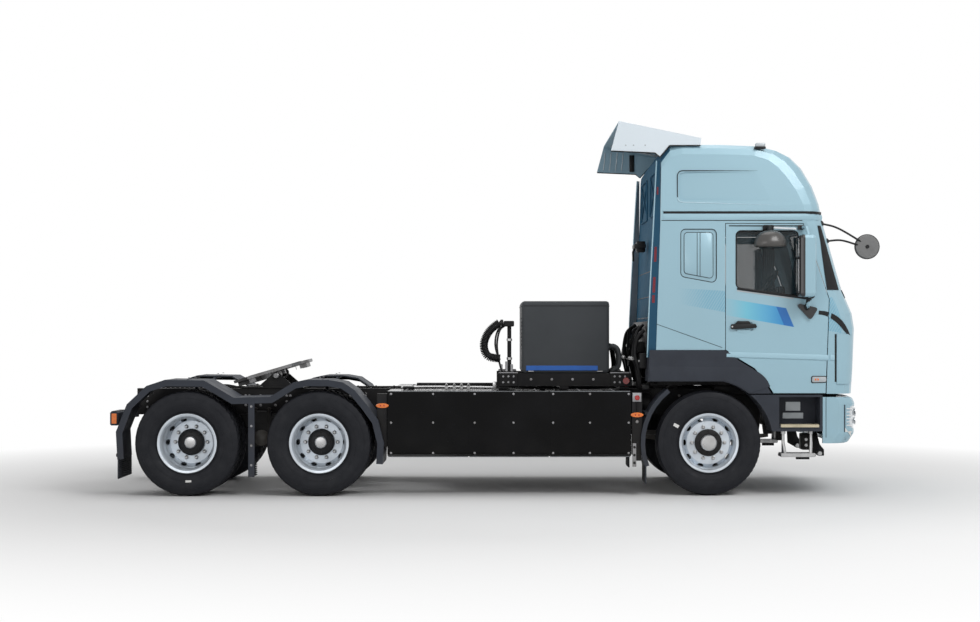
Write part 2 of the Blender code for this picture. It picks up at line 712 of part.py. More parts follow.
def build_frame():
    frame = rail(1)
    fuse(frame, rail(-1))
    for x in (FRAME_FRONT_X - 0.03, 1.50, 0.62, -1.05, BOGIE_X + 0.25, BOGIE_X - 0.15, FRAME_REAR_X + 0.11):
        fuse(frame, crossmember(x))
    for side in (1, -1):
        edge = side * FRAME_HALF_WIDTH
        for x in (FRONT_AXLE_X + FRONT_SPRING_HALF, FRONT_AXLE_X - FRONT_SPRING_HALF):
            hanger = prism([(x - 0.07, FRAME_BOTTOM + 0.01), (x - 0.04, FRONT_SPRING_Z + 0.04 + SEAT_GAP),
                            (x + 0.04, FRONT_SPRING_Z + 0.04 + SEAT_GAP), (x + 0.07, FRAME_BOTTOM + 0.01)],
                           "Y", edge - 0.045, edge + 0.045)
            fuse(frame, hanger)
        ear = prism(rounded([(FRAME_FRONT_X - 0.20, 0.83), (TILT_X - 0.03, TILT_Z - 0.05),
                             (TILT_X + 0.035, TILT_Z - 0.035),
                             (TILT_X + 0.035, TILT_Z + 0.035), (FRAME_FRONT_X - 0.20, 0.95)], 0.02),
                    "Y", side * (FRAME_HALF_WIDTH - 0.02), side * (FRAME_HALF_WIDTH + 0.02))
        pin = cylinder((TILT_X, side * (FRAME_HALF_WIDTH - 0.005), TILT_Z),
                       (TILT_X, side * (TILT_ARM_Y[1] + 0.01), TILT_Z), TILT_PIN_RADIUS)
        fuse(frame, ear, pin)
    finish(frame, "frame", BLACK_STEEL, 0.55, 0.3)
    pair(front_mudguard(), "front_guard", DARK_PLASTIC, 0.6)
    pair(tail_lamp(), "tail_lamp", DARK_PLASTIC, 0.5)
    build_cab_bridge()


def tail_lamp():
    """A lamp housing on an angle bracket that is bolted to the end of the left rail."""
    low = TAIL_LAMP_Z - TAIL_LAMP_HEIGHT / 2
    back = FRAME_REAR_X - SEAT_GAP
    lamp = block((-REACH, -REACH + 0.085), (0.80, 1.19), (low, low + TAIL_LAMP_HEIGHT), 0.012)
    arm = block((-REACH + 0.03, -REACH + 0.06), (FRAME_HALF_WIDTH - 0.125, 0.85),
                (TAIL_LAMP_Z - 0.02, TAIL_LAMP_Z + 0.05))
    link = block((-REACH + 0.04, back), (FRAME_HALF_WIDTH - 0.095, FRAME_HALF_WIDTH),
                 (TAIL_LAMP_Z - 0.02, TAIL_LAMP_Z + 0.12))
    return fuse(arm, lamp, link)


def build_cab_bridge():
    """The low portal on the rails that the rear of the cab is latched to."""
    under_floor = FLOOR_TOP - FLOOR_THICKNESS
    bridge = block((1.69, 1.77), (-0.50, 0.50), (under_floor - 0.09, under_floor - 0.01), 0.01)
    for side in (1, -1):
        fuse(bridge, block((1.68, 1.78), sorted((side * 0.345, side * 0.415)),
                           (FRAME_TOP + SEAT_GAP, under_floor - 0.02)))
    finish(bridge, "cab_bridge", BLACK_STEEL, 0.55, 0.3)


def build_drive_motor():
    """The motor with its gearbox as one plain block hung between the rails, its flange to the shaft."""
    wide = FRAME_HALF_WIDTH - RAIL_FLANGE - 0.02
    body = block((-0.55, 0.35), (-0.30, 0.30), (0.50, 0.96), 0.04, 2)
    flange = cylinder((-0.60 + SEAT_GAP, 0, AXLE_Z + 0.15), (-0.52, 0, AXLE_Z + 0.15), 0.09, 16)
    hangers = block((-0.32, -0.20), (-wide - 0.085, wide + 0.085),
                    (FRAME_BOTTOM - 0.05, FRAME_BOTTOM - SEAT_GAP))
    finish(fuse(body, flange, hangers), "drive_motor", STEEL, 0.5, 0.5)


def build_batteries():
    """A battery pack on each side: a deep box with a rolled top edge and bottom, and shallow joint lines."""
    inner_y = FRAME_HALF_WIDTH + SEAT_GAP
    outline = rounded([(inner_y, BATTERY_BOTTOM + 0.05, 0.0),
                       (BATTERY_OUTER_Y - 0.10, BATTERY_BOTTOM, 0.05),
                       (BATTERY_OUTER_Y, BATTERY_BOTTOM + 0.03, 0.02),
                       (BATTERY_OUTER_Y, BATTERY_TOP, 0.012),
                       (inner_y, BATTERY_TOP, 0.0)], 0.01)
    pack = prism(outline, "X", BATTERY_REAR_X, BATTERY_FRONT_X)
    for k in range(1, 3):
        x = BATTERY_REAR_X + (BATTERY_FRONT_X - BATTERY_REAR_X) * k / 3
        cut(pack, block((x - 0.004, x + 0.004), (BATTERY_OUTER_Y - 0.004, BATTERY_OUTER_Y + 0.1),
                        (BATTERY_BOTTOM + 0.1, BATTERY_TOP - 0.05)))
    pair(pack, "battery", BLACK_STEEL, 0.12)


def fender_path():
    """The top line of the double arch over the twin wheels, front to rear."""
    rear = REAR_AXLE_X
    mid = MID_AXLE_X
    top = AXLE_Z + 0.652
    return [
        (mid + 0.653, 0.33), (mid + 0.665, 0.545), (mid + 0.607, 0.778), (mid + 0.489, 0.942),
        (mid + 0.373, 1.083),
        (mid + 0.254, 1.165), (mid + 0.10, top), (mid - 0.13, top), (mid - 0.26, 1.165),
        (mid - 0.495, 1.02),
        (rear + 0.481, 1.01), (rear + 0.33, 1.10), (rear + 0.176, top - 0.005), (rear - 0.222, top),
        (rear - 0.409, 1.13), (rear - 0.609, 0.942), (rear - 0.720, 0.661), (rear - 0.705, 0.38),
    ]


def build_fenders():
    """A double-arch fender with an outer lip, two mud flaps, a middle flap and the stays to the rail."""
    path = fender_path()
    shell = lipped_skin(path[::-1], FENDER_SKIN, FENDER_LIP, FENDER_INNER_Y, FENDER_OUTER_Y)
    rear_x = path[-1][0]
    fuse(shell, block((rear_x + 0.001, rear_x + 0.013), (FENDER_INNER_Y + 0.01, FENDER_OUTER_Y - 0.01),
                      (0.18, 0.42)))
    middle = BOGIE_X - 0.01
    fuse(shell, block((middle - 0.02, middle + 0.012), (FENDER_OUTER_Y - 0.16, FENDER_OUTER_Y - 0.004),
                      (0.20, 1.01)))
    for x in (MID_AXLE_X + 0.02, REAR_AXLE_X - 0.02):
        rail_y = FRAME_HALF_WIDTH + SEAT_GAP
        fuse(shell, pipe([(x, rail_y, 1.03), (x, rail_y + 0.06, 1.03), (x, rail_y + 0.14, 1.12),
                          (x, FENDER_INNER_Y + 0.02, 1.17), (x, FENDER_OUTER_Y - 0.2, 1.178)], 0.02, 6))
    pair(shell, "fender", DARK_PLASTIC, 0.6)


# Fifth wheel

def build_fifth_wheel():
    """A coupling plate with its throat open to the rear, on two pinned brackets over a cross plate."""
    pivot = Vector((COUPLING_X, 0, COUPLING_Z))
    outline = []
    for k in range(9):
        angle = math.radians(-90 + 180 * k / 8)
        outline.append((0.38 - 0.30 + 0.30 * math.cos(angle), 0.44 * math.sin(angle)))
    outline += [(-0.30, 0.42), (-0.46, 0.34), (-0.46, 0.22), (-0.10, 0.036), (0.02, 0.030), (0.02, -0.030),
                (-0.10, -0.036), (-0.46, -0.22), (-0.46, -0.34), (-0.30, -0.42)]
    plate = prism(outline, "Z", 0.045, 0.075)
    skirt = prism(inset(outline, 0.035), "Z", 0.0, 0.05)
    cut(skirt, prism([(0.26, -0.32), (0.26, 0.32), (0.08, 0.36), (-0.25, 0.36), (-0.25, 0.19),
                      (-0.06, 0.08),
                      (0.06, 0.07), (0.06, -0.07), (-0.06, -0.08), (-0.25, -0.19), (-0.25, -0.36),
                      (0.08, -0.36)],
                     "Z", -0.1, 0.047))
    for side in (1, -1):
        cut(skirt, block((-0.22, 0.22), sorted((side * 0.28, side * 0.5)), (-0.1, 0.047)))
    fuse(plate, skirt)
    for side in (1, -1):
        ear = prism(rounded([(-0.07, 0.05), (-0.045, -0.04), (0.045, -0.04), (0.07, 0.05)], 0.03), "Y",
                    *sorted((side * 0.30, side * 0.335)))
        fuse(plate, ear)
        bore = cylinder((0, side * 0.28, 0), (0, side * 0.36, 0), bore_radius(0.022, BORE_SIDES),
                        BORE_SIDES)
        cut(plate, bore)
    transform(plate, Matrix.Translation(pivot) @ Matrix.Rotation(math.radians(-COUPLING_TILT), 4, "Y"))
    finish(plate, "fifth_wheel_plate", TRIM_GREY, 0.45, 0.6, pivot=pivot)

    base_low = FRAME_TOP + SEAT_GAP
    base = block((COUPLING_X - 0.36, COUPLING_X + 0.30), (-0.45, 0.45), (base_low, base_low + 0.014), 0.003)
    for side in (1, -1):
        bracket = prism(rounded([(COUPLING_X - 0.20, base_low + 0.01),
                                 (COUPLING_X - 0.028, COUPLING_Z + 0.025),
                                 (COUPLING_X + 0.028, COUPLING_Z + 0.025),
                                 (COUPLING_X + 0.20, base_low + 0.01)], 0.02),
                        "Y", *sorted((side * 0.342, side * 0.385)))
        pin = cylinder((COUPLING_X, side * 0.295, COUPLING_Z), (COUPLING_X, side * 0.36, COUPLING_Z), 0.022)
        fuse(base, bracket, pin)
    finish(base, "fifth_wheel_base", BLACK_STEEL, 0.5, 0.4)


# Behind the cab

BOX_X = (0.26, 1.19)
BOX_HALF_WIDTH = 0.60
CRADLE_TOP = 1.245
BOX_TOP = 2.01
HOSE_POST_X = 0.13


def build_electronics():
    """The control cabinet on its cradle with the hose post beside it, and the coiled hose on the post."""
    cabinet = block(BOX_X, (-BOX_HALF_WIDTH, BOX_HALF_WIDTH), (CRADLE_TOP + SEAT_GAP, BOX_TOP), 0.03, 2)
    finish(cabinet, "electronics_box", TRIM_GREY, 0.45, 0.2)
    low = FRAME_TOP + SEAT_GAP
    cradle = block((0.0, 1.43), (-BOX_HALF_WIDTH, -BOX_HALF_WIDTH + 0.06), (low + 0.03, CRADLE_TOP))
    fuse(cradle, block((0.0, 1.43), (BOX_HALF_WIDTH - 0.06, BOX_HALF_WIDTH), (low + 0.03, CRADLE_TOP)))
    for x in (0.02, 0.66, 1.30):
        fuse(cradle, block((x, x + 0.10), (-BOX_HALF_WIDTH + 0.005, BOX_HALF_WIDTH - 0.005),
                           (low, low + 0.09)))
    post_y = -BOX_HALF_WIDTH + 0.04
    fuse(cradle, pipe([(HOSE_POST_X, post_y, CRADLE_TOP - 0.05), (HOSE_POST_X, post_y, 1.80)], 0.022, 10))
    fuse(cradle, block((HOSE_POST_X - 0.06, HOSE_POST_X + 0.05), (post_y - 0.10, post_y + 0.10),
                       (1.74, 1.80), 0.008))
    finish(cradle, "box_cradle", BLACK_STEEL, 0.5, 0.3)
    coil_radius = 0.045
    start = Vector((HOSE_POST_X - 0.06 - SEAT_GAP, post_y - 0.055, 1.77))
    finish_at = Vector((HOSE_POST_X - 0.022 - coil_radius - 0.03, post_y - 0.055, 1.40))
    route = [start, start + Vector((-0.03, 0, 0)), start + Vector((-0.06, 0, 0)),
             start + Vector((-0.16, 0, -0.09)), start + Vector((-0.21, 0, -0.22)),
             start + Vector((-0.17, 0, -0.34)), finish_at]
    curve = bpy.data.curves.new("coil_hose", "CURVE")
    curve.dimensions = "3D"
    curve.bevel_depth = coil_radius
    curve.bevel_resolution = 2
    curve.use_fill_caps = True
    line = curve.splines.new("POLY")
    points = smooth(route, 3)
    line.points.add(len(points) - 1)
    for knot, place in zip(line.points, points):
        knot.co = (*place, 1.0)
    hose = bpy.data.objects.new("coil_hose", curve)
    bpy.context.scene.collection.objects.link(hose)
    curve.materials.append(paint("coil_hose", BLACK_STEEL, 0.5))


# Cab

def ramp(value, low, high):
    return min(max((value - low) / (high - low), 0.0), 1.0)


def front_sweep(y):
    """How far the front face falls back at a distance y from the middle."""
    corner = max(0.0, abs(y) - (CAB_HALF_WIDTH - CORNER_RADIUS))
    rounding = CORNER_RADIUS - math.sqrt(max(0.0, CORNER_RADIUS ** 2 - corner ** 2))
    return FRONT_CROWN * (y / FRONT_CROWN_AT) ** 2 + rounding


def roof_fall(y):
    corner = max(0.0, abs(y) - (CAB_HALF_WIDTH - ROOF_EDGE_RADIUS))
    rounding = ROOF_EDGE_RADIUS - math.sqrt(max(0.0, ROOF_EDGE_RADIUS ** 2 - corner ** 2))
    return ROOF_CROWN * (y / CAB_HALF_WIDTH) ** 2 + rounding


def swept(x, y, z):
    """Bend a point of the straight cab body to the rounded front and the crowned, leaning roof."""
    back = front_sweep(y) * ramp(x, 2.55, 3.25)
    down = roof_fall(y) * ramp(z, 2.95, 3.50)
    lean = 1 - ROOF_LEAN * max(0.0, z - ROOF_SEAM_Z)
    return (x - back, y * lean, z - down)


def stations(half_width):
    """The Y places of the sections, closer together round the corners."""
    corner = half_width - (CAB_HALF_WIDTH - CORNER_RADIUS)
    places = [0.0, 0.55]
    for k in range(4):
        places.append(half_width - corner + corner * math.sin(math.radians(30.0 * k)))
    return [-y for y in places[:0:-1]] + places


def cab_block(outline, depth, half_width=CAB_HALF_WIDTH):
    """Loft an inset side outline across the cab's width, bent by the front sweep and the roof crown."""
    shape = inset(outline, depth) if depth else outline
    bm = bmesh.new()
    rings = []
    for y in stations(half_width - depth):
        rings.append([bm.verts.new(swept(x, y, z)) for x, z in shape])
    bm.faces.new(rings[0])
    bm.faces.new(rings[-1])
    count = len(shape)
    for one, two in zip(rings, rings[1:]):
        for i in range(count):
            j = (i + 1) % count
            bm.faces.new((one[i], one[j], two[j], two[i]))
    return make_object("cab block", bm)


def lower_outline(top=ROOF_SEAM_Z, bottom=1.049):
    screen_top = 3.438 - (top - ROOF_SEAM_Z) * WINDSCREEN_SLOPE
    return [
        (CAB_REAR_X - 0.008, bottom), (3.735, bottom), (3.752, 1.30), (3.768, 1.72), (3.745, 1.87),
        (3.69, 2.00),
        (3.642, 2.10), (screen_top, top), (CAB_REAR_TOP_X, top),
    ]


def roof_outline(bottom=ROOF_SEAM_Z + SEAT_GAP):
    return [
        (CAB_REAR_TOP_X, bottom), (3.438, bottom), (3.405, 3.00), (3.335, 3.20), (3.22, 3.40), (3.09, 3.52),
        (2.93, 3.59), (2.70, 3.635), (2.30, ROOF_TOP_Z), (1.90, ROOF_TOP_Z), (1.775, 3.625), (1.68, 3.50),
    ]


def arch_line(shift=0.0):
    """The cab side's lower edge over the wheel, rear to front."""
    return [(DOOR_REAR_X, CAB_SILL_Z + shift), (2.479 + shift, 1.395 + shift),
            (2.632 + shift, 1.303 + shift),
            (2.75 + shift, 1.16 + shift), (2.822 + shift, 1.05)]


def door_aperture(bottom):
    """The opening for the door; its rear lower edge follows the wheel arch."""
    return [(DOOR_REAR_X, DOOR_TOP_Z), (DOOR_REAR_X, CAB_SILL_Z), *arch_line()[1:-1], (2.822, 1.05),
            (2.822, bottom),
            (DOOR_FRONT_X - 0.035, bottom), (DOOR_FRONT_X, 2.02), (3.135, DOOR_TOP_Z)]


def window_outline(depth=0.0):
    outline = [(2.444, 2.135, 0.05), (3.255, 2.022, 0.05), (3.235, 2.12, 0.05), (3.065, 2.716, 0.06),
               (2.444, 2.716, 0.05)]
    return inset(rounded(outline, 0.05), depth)


def windscreen_outline(depth=0.0):
    low = CAB_HALF_WIDTH - 0.19
    high = CAB_HALF_WIDTH - 0.25
    outline = [(-low, 2.11, 0.08), (low, 2.11, 0.08), (high, 2.79, 0.07), (-high, 2.79, 0.07)]
    return inset(rounded(outline, 0.07), depth)


def hinge_arm(level):
    """A swan-neck arm on the inside of the left door, with the eye that turns on the corner post's pin."""
    x = DOOR_HINGE_X
    y = DOOR_HINGE_Y
    low = level + RUN_GAP
    high = level + HINGE_HEIGHT - RUN_GAP
    shape = [(x + 0.008, y), (x + 0.008, y - 0.066), (x - 0.13, y - 0.066), (x - 0.13, y - 0.038),
             (x - 0.082, y - 0.038), (x - 0.082, y - 0.050), (x - 0.008, y - 0.050), (x - 0.008, y)]
    arm = fuse(prism(shape, "Z", low, high), cylinder((x, y, low), (x, y, high), DOOR_EYE_RADIUS))
    return cut(arm, cylinder((x, y, level), (x, y, level + HINGE_HEIGHT), bore_radius(DOOR_PIN_RADIUS, 12),
                             12))


def build_cab_shell():
    """The hollow lower cab: rear wall, side walls with door openings and the front panel."""
    shell = cab_block(lower_outline(), 0.0)
    cut(shell, cab_block(lower_outline(ROOF_SEAM_Z + CAB_WALL + 0.002, 0.6), CAB_WALL))
    below = [(1.4, 0.9), (1.4, CAB_SILL_Z), (DOOR_REAR_X + 0.02, CAB_SILL_Z), (2.479, 1.395),
             (2.632, 1.303), (2.75, 1.16),
             (2.822, 1.05), (2.822, 0.9)]
    cut(shell, prism(below, "Y", -CLEAR_Y, CLEAR_Y))
    apron = CAB_HALF_WIDTH - 0.18
    cut(shell, block((1.5, 4.0), (-apron, apron), (0.9, CAB_APRON_Z)))
    for side in (1, -1):
        cut(shell, prism(door_aperture(0.95), "Y", *sorted((side * DEEP_Y, side * PAST_Y))))
        rebate_y = CAB_HALF_WIDTH - DOOR_SEAM
        cut(shell, prism(inset(door_aperture(0.95), -DOOR_REBATE), "Y",
                         *sorted((side * DEEP_Y, side * rebate_y))))
        for level in HINGE_LEVELS:
            high = level + HINGE_HEIGHT
            cut(shell, block((3.36, DOOR_HINGE_X + 0.016),
                             sorted((side * (rebate_y - 0.103), side * rebate_y)),
                             (level, high)))
            fuse(shell, cylinder((DOOR_HINGE_X, side * DOOR_HINGE_Y, level - 0.02),
                                 (DOOR_HINGE_X, side * DOOR_HINGE_Y, high + 0.02), DOOR_PIN_RADIUS, 8))
        sleeper = [(1.876, 2.248), (2.243, 2.18), (2.243, 2.734), (1.876, 2.734)]
        cut(shell, prism(rounded(sleeper, 0.05), "Y",
                         *sorted((side * (CAB_HALF_WIDTH - 0.010), side * PAST_Y))))
    cut(shell, prism(windscreen_outline(), "X", 3.0, 4.2))
    outer = CAB_HALF_WIDTH - 0.24
    for side in (-1, 1):
        wide = sorted((side * REAR_PANEL_INNER_Y, side * outer))
        cut(shell, block((1.5, CAB_REAR_X + 0.022), wide, (1.75, 2.25)))
        cut(shell, block((1.5, CAB_REAR_X + 0.040), wide, (2.42, 2.74)))
    grille = CAB_HALF_WIDTH - 0.49
    for k in range(5):
        z = 1.30 + 0.075 * k
        cut(shell, block((3.735, 4.0), (-grille, grille), (z, z + 0.035)))
    finish(shell, "cab_shell", BODY_BLUE, 0.3, 0.4)


def build_roof():
    """The high roof moulding with a panel pressed into each side that runs out towards the front."""
    roof = cab_block(roof_outline(), 0.0)
    hollow = cab_block([(x, z - 0.3 if z < 2.9 else z) for x, z in roof_outline()], CAB_WALL)
    cut(roof, hollow)
    panel = rounded([(1.86, 3.03), (2.96, 3.03), (2.96, 3.32), (1.86, 3.32)], 0.06)
    for side in (1, -1):
        tool = prism(panel, "Y", CAB_HALF_WIDTH - 0.11, CLEAR_Y)
        for vertex in tool.data.vertices:
            lean = 1 - ROOF_LEAN * (vertex.co.z - ROOF_SEAM_Z)
            depth = ROOF_PANEL_DEPTH * (ROOF_PANEL_END - vertex.co.x)
            vertex.co.y = side * (CAB_HALF_WIDTH * lean - depth if vertex.co.y < CAB_HALF_WIDTH else CLEAR_Y)
        if side < 0:
            tool.data.flip_normals()
        cut(roof, tool)
    groove = cab_block(roof_outline(), -CAB_WALL)
    keep(groove, block((CAB_REAR_TOP_X + 0.02, 4.0), (-CLEAR_Y, CLEAR_Y), ROOF_GROOVE_Z))
    cut(groove, cab_block(roof_outline(), ROOF_GROOVE_DEPTH))
    cut(roof, groove)
    finish(roof, "cab_roof", BODY_BLUE, 0.3, 0.4)


def build_deflector():
    """The hood on the roof's rear edge, open below and behind."""
    side = [(1.251, 3.85), (2.097, 3.675), (2.087, 3.60), (1.771, 3.60), (1.669, 3.48), (1.62, 3.524),
            (1.169, 3.544)]
    half = CAB_HALF_WIDTH - 0.075
    hood = prism(side, "Y", -half, half)
    inner = [(1.0, 3.87), (1.231, 3.83), (2.05, 3.660), (2.2, 3.60), (2.2, 3.3), (1.0, 3.3)]
    cut(hood, prism(inner, "Y", -half + 0.02, half - 0.02))
    roof = cab_block(roof_outline(), -SEAT_GAP)
    cut(hood, roof)
    finish(hood, "roof_deflector", (0.78, 0.80, 0.82), 0.35)


def build_glass():
    pane = cab_block(lower_outline(), 0.012)
    keep(pane, prism(windscreen_outline(SEAT_GAP), "X", 3.0, 4.2))
    cut(pane, cab_block(lower_outline(), 0.012 + GLASS_THICKNESS))
    finish(pane, "windscreen", GLASS_TINT, 0.08, alpha=0.45)
    pane = prism(window_outline(SEAT_GAP), "Y", CAB_HALF_WIDTH - 0.03,
                 CAB_HALF_WIDTH - 0.03 + GLASS_THICKNESS)
    pair(pane, "glass", GLASS_TINT, 0.08, alpha=0.45, pivot=(DOOR_HINGE_X, DOOR_HINGE_Y, 0))


def build_doors():
    """Each door is cut from the cab's own body, with a seam all round and its window."""
    outline = inset(door_aperture(DOOR_BOTTOM_Z - DOOR_SEAM), DOOR_SEAM)
    flange_y = CAB_HALF_WIDTH - DOOR_SEAM
    door = cab_block(lower_outline(), 0.0)
    keep(door, prism(outline, "Y", flange_y, PAST_Y))
    body = cab_block(lower_outline(), 0.0)
    keep(body, prism(inset(outline, DOOR_REBATE), "Y", CAB_HALF_WIDTH - DOOR_THICKNESS,
                     flange_y + MERGE * 10))
    fuse(door, body)
    cut(door, prism(window_outline(), "Y", DEEP_Y, PAST_Y))
    dish = rounded([(2.42, 1.691), (2.622, 1.691), (2.622, 1.783), (2.42, 1.783)], 0.03)
    cut(door, prism(dish, "Y", CAB_HALF_WIDTH - 0.016, PAST_Y))
    grip = block((2.385, 2.656), (CAB_HALF_WIDTH - 0.012, CAB_HALF_WIDTH + 0.012), (1.72, 1.755), 0.008)
    fuse(door, grip)
    for level in HINGE_LEVELS:
        fuse(door, hinge_arm(level))
    pair(door, "door", BODY_BLUE, 0.3, 0.4, pivot=(DOOR_HINGE_X, DOOR_HINGE_Y, 0))


def build_mirrors():
    """The tall main mirrors on the doors, the kerb mirror on the right door and the front mirror."""
    hinge = (DOOR_HINGE_X, DOOR_HINGE_Y, 0)
    housing = block((3.045, 3.215), (CAB_HALF_WIDTH + 0.075, MIRROR_REACH_Y), (2.035, 2.665), 0.035, 2)
    face = CAB_HALF_WIDTH + SEAT_GAP
    base = prism(rounded([(3.03, 1.985), (3.28, 1.925), (3.20, 1.80)], 0.02), "Y", face, face + 0.035)
    low_arm = pipe([(3.16, face + 0.02, 1.92), (3.16, MIRROR_MAST_Y - 0.05, 1.96),
                    (3.16, MIRROR_MAST_Y, 2.06)], 0.022)
    foot = block((3.07, 3.13), (face, face + 0.03), (2.725, 2.775), 0.005)
    high_arm = pipe([(3.10, face + 0.015, 2.75), (3.14, MIRROR_MAST_Y - 0.05, 2.74),
                     (3.155, MIRROR_MAST_Y, 2.64)], 0.022)
    mast = cylinder((3.155, MIRROR_MAST_Y, 2.05), (3.155, MIRROR_MAST_Y, 2.65), 0.02, 6)
    finish_pair = fuse(housing, base, low_arm, foot, high_arm, mast)
    pair(finish_pair, "mirror", BODY_BLUE, 0.35, 0.2, pivot=hinge)

    dome = lathe([(0.0, 0.12), (0.07, 0.11), (0.13, 0.075), (0.16, 0.0), (0.155, -0.035), (0.0, -0.035)],
                 (0, 0, 0), "Z", 16)
    transform(dome, Matrix.Translation((2.77, -KERB_MIRROR_Y, 2.585)) @ Matrix.Diagonal((1.0, 0.7, 1.0,
            1.0)))
    bracket = pipe([(2.77, -face - 0.012, 2.745), (2.77, -KERB_MIRROR_Y + 0.055, 2.745),
                    (2.77, -KERB_MIRROR_Y + 0.015, 2.66)], 0.02)
    foot = block((2.72, 2.82), (-face - 0.02, -face), (2.72, 2.77), 0.004)
    finish(fuse(dome, bracket, foot), "kerb_mirror", DARK_PLASTIC, 0.5,
           pivot=(DOOR_HINGE_X, -DOOR_HINGE_Y, 0))

    centre = Vector((REACH - FRONT_MIRROR_RADIUS * math.cos(math.pi / 20), -CAB_HALF_WIDTH + 0.28, 2.567))
    bowl = lathe([(0.0, 0.055), (0.06, 0.045), (0.115, 0.01), (FRONT_MIRROR_RADIUS, -0.02), (0.12, -0.035),
                  (0.0, -0.035)],
                 centre, "Y", 20)
    flip = Matrix.Diagonal((1, -1, 1, 1))
    transform(bowl, Matrix.Translation(centre) @ flip @ Matrix.Translation(-centre))
    foot_y = CAB_HALF_WIDTH - 0.14
    low_foot_y = CAB_HALF_WIDTH - 0.165
    reach_in = Vector((3.43 - front_sweep(foot_y), -foot_y, 2.80))
    lower = Vector((3.485 - front_sweep(low_foot_y), -low_foot_y, 2.62))
    arms = [pipe([reach_in, reach_in + Vector((0.10, -0.03, 0.0)), centre + Vector((-0.03, -0.03, 0.05))],
                 0.012),
            pipe([lower, lower + Vector((0.09, -0.03, 0.01)), centre + Vector((-0.03, -0.03, 0.0))], 0.012)]
    fuse(bowl, *arms)
    cut(bowl, cab_block(lower_outline(), -SEAT_GAP))
    finish(bowl, "front_mirror", TRIM_GREY, 0.5)


def build_cab_floor():
    """The floor with a wheel arch box and its side trim on each side, and the two tilt arms."""
    low = FLOOR_TOP - FLOOR_THICKNESS
    floor = cab_block(lower_outline(ROOF_SEAM_Z, 0.6), CAB_WALL + SEAT_GAP)
    keep(floor, block((1.5, 4.0), (-CLEAR_Y, CLEAR_Y), (low, FLOOR_TOP)))
    arc = []
    for k in range(6):
        angle = math.radians(51.7 + 26.0 * k / 5)
        arc.append((FRONT_AXLE_X + ARCH_RADIUS * math.cos(angle), AXLE_Z + ARCH_RADIUS * math.sin(angle)))
    sill = CAB_SILL_Z - SEAT_GAP
    outline = [(1.56, sill), (DOOR_REAR_X + 0.01, sill), (2.474, 1.388), (2.626, 1.297), (2.744, 1.155),
               (2.805, 1.052), *arc,
               (1.54, 1.175)]
    for side in (1, -1):
        cut(floor, block((3.36, 4.0), sorted((side * (CAB_HALF_WIDTH - 0.17), side * PAST_Y)), (1.0, 1.6)))
        near = side * INNER_Y
        trim = prism(outline, "Y", *sorted((near, side * (CAB_HALF_WIDTH + 0.006))))
        fuse(floor, trim)
        arm = prism(rounded([(3.22, low + 0.01), (TILT_X - 0.06, TILT_Z + 0.03),
                             (TILT_X - 0.03, TILT_Z - 0.045),
                             (TILT_X + 0.035, TILT_Z - 0.035), (TILT_X + 0.035, TILT_Z + 0.03),
                             (3.36, low + 0.01)], 0.025),
                    "Y", *sorted((side * TILT_ARM_Y[0], side * TILT_ARM_Y[1])))
        cut(arm, cylinder((TILT_X, side * (TILT_ARM_Y[0] - 0.055), TILT_Z),
                          (TILT_X, side * (TILT_ARM_Y[1] + 0.095), TILT_Z),
                          bore_radius(TILT_PIN_RADIUS, BORE_SIDES), BORE_SIDES))
        fuse(floor, arm)
        well = block((2.84, 3.33), sorted((side * INNER_Y, side * (CAB_HALF_WIDTH - 0.08))),
                     (1.075, low + 0.01))
        cut(well, block((2.86, 3.31), sorted((side * (INNER_Y + 0.02), side * PAST_Y)),
                        (1.095, low - 0.001)))
        fuse(floor, well)
        cut(floor, prism(door_aperture(0.95), "Y",
                         *sorted((side * (CAB_HALF_WIDTH - DOOR_THICKNESS - RUN_GAP), side * PAST_Y))))
    finish(floor, "cab_floor", DARK_PLASTIC, 0.6)


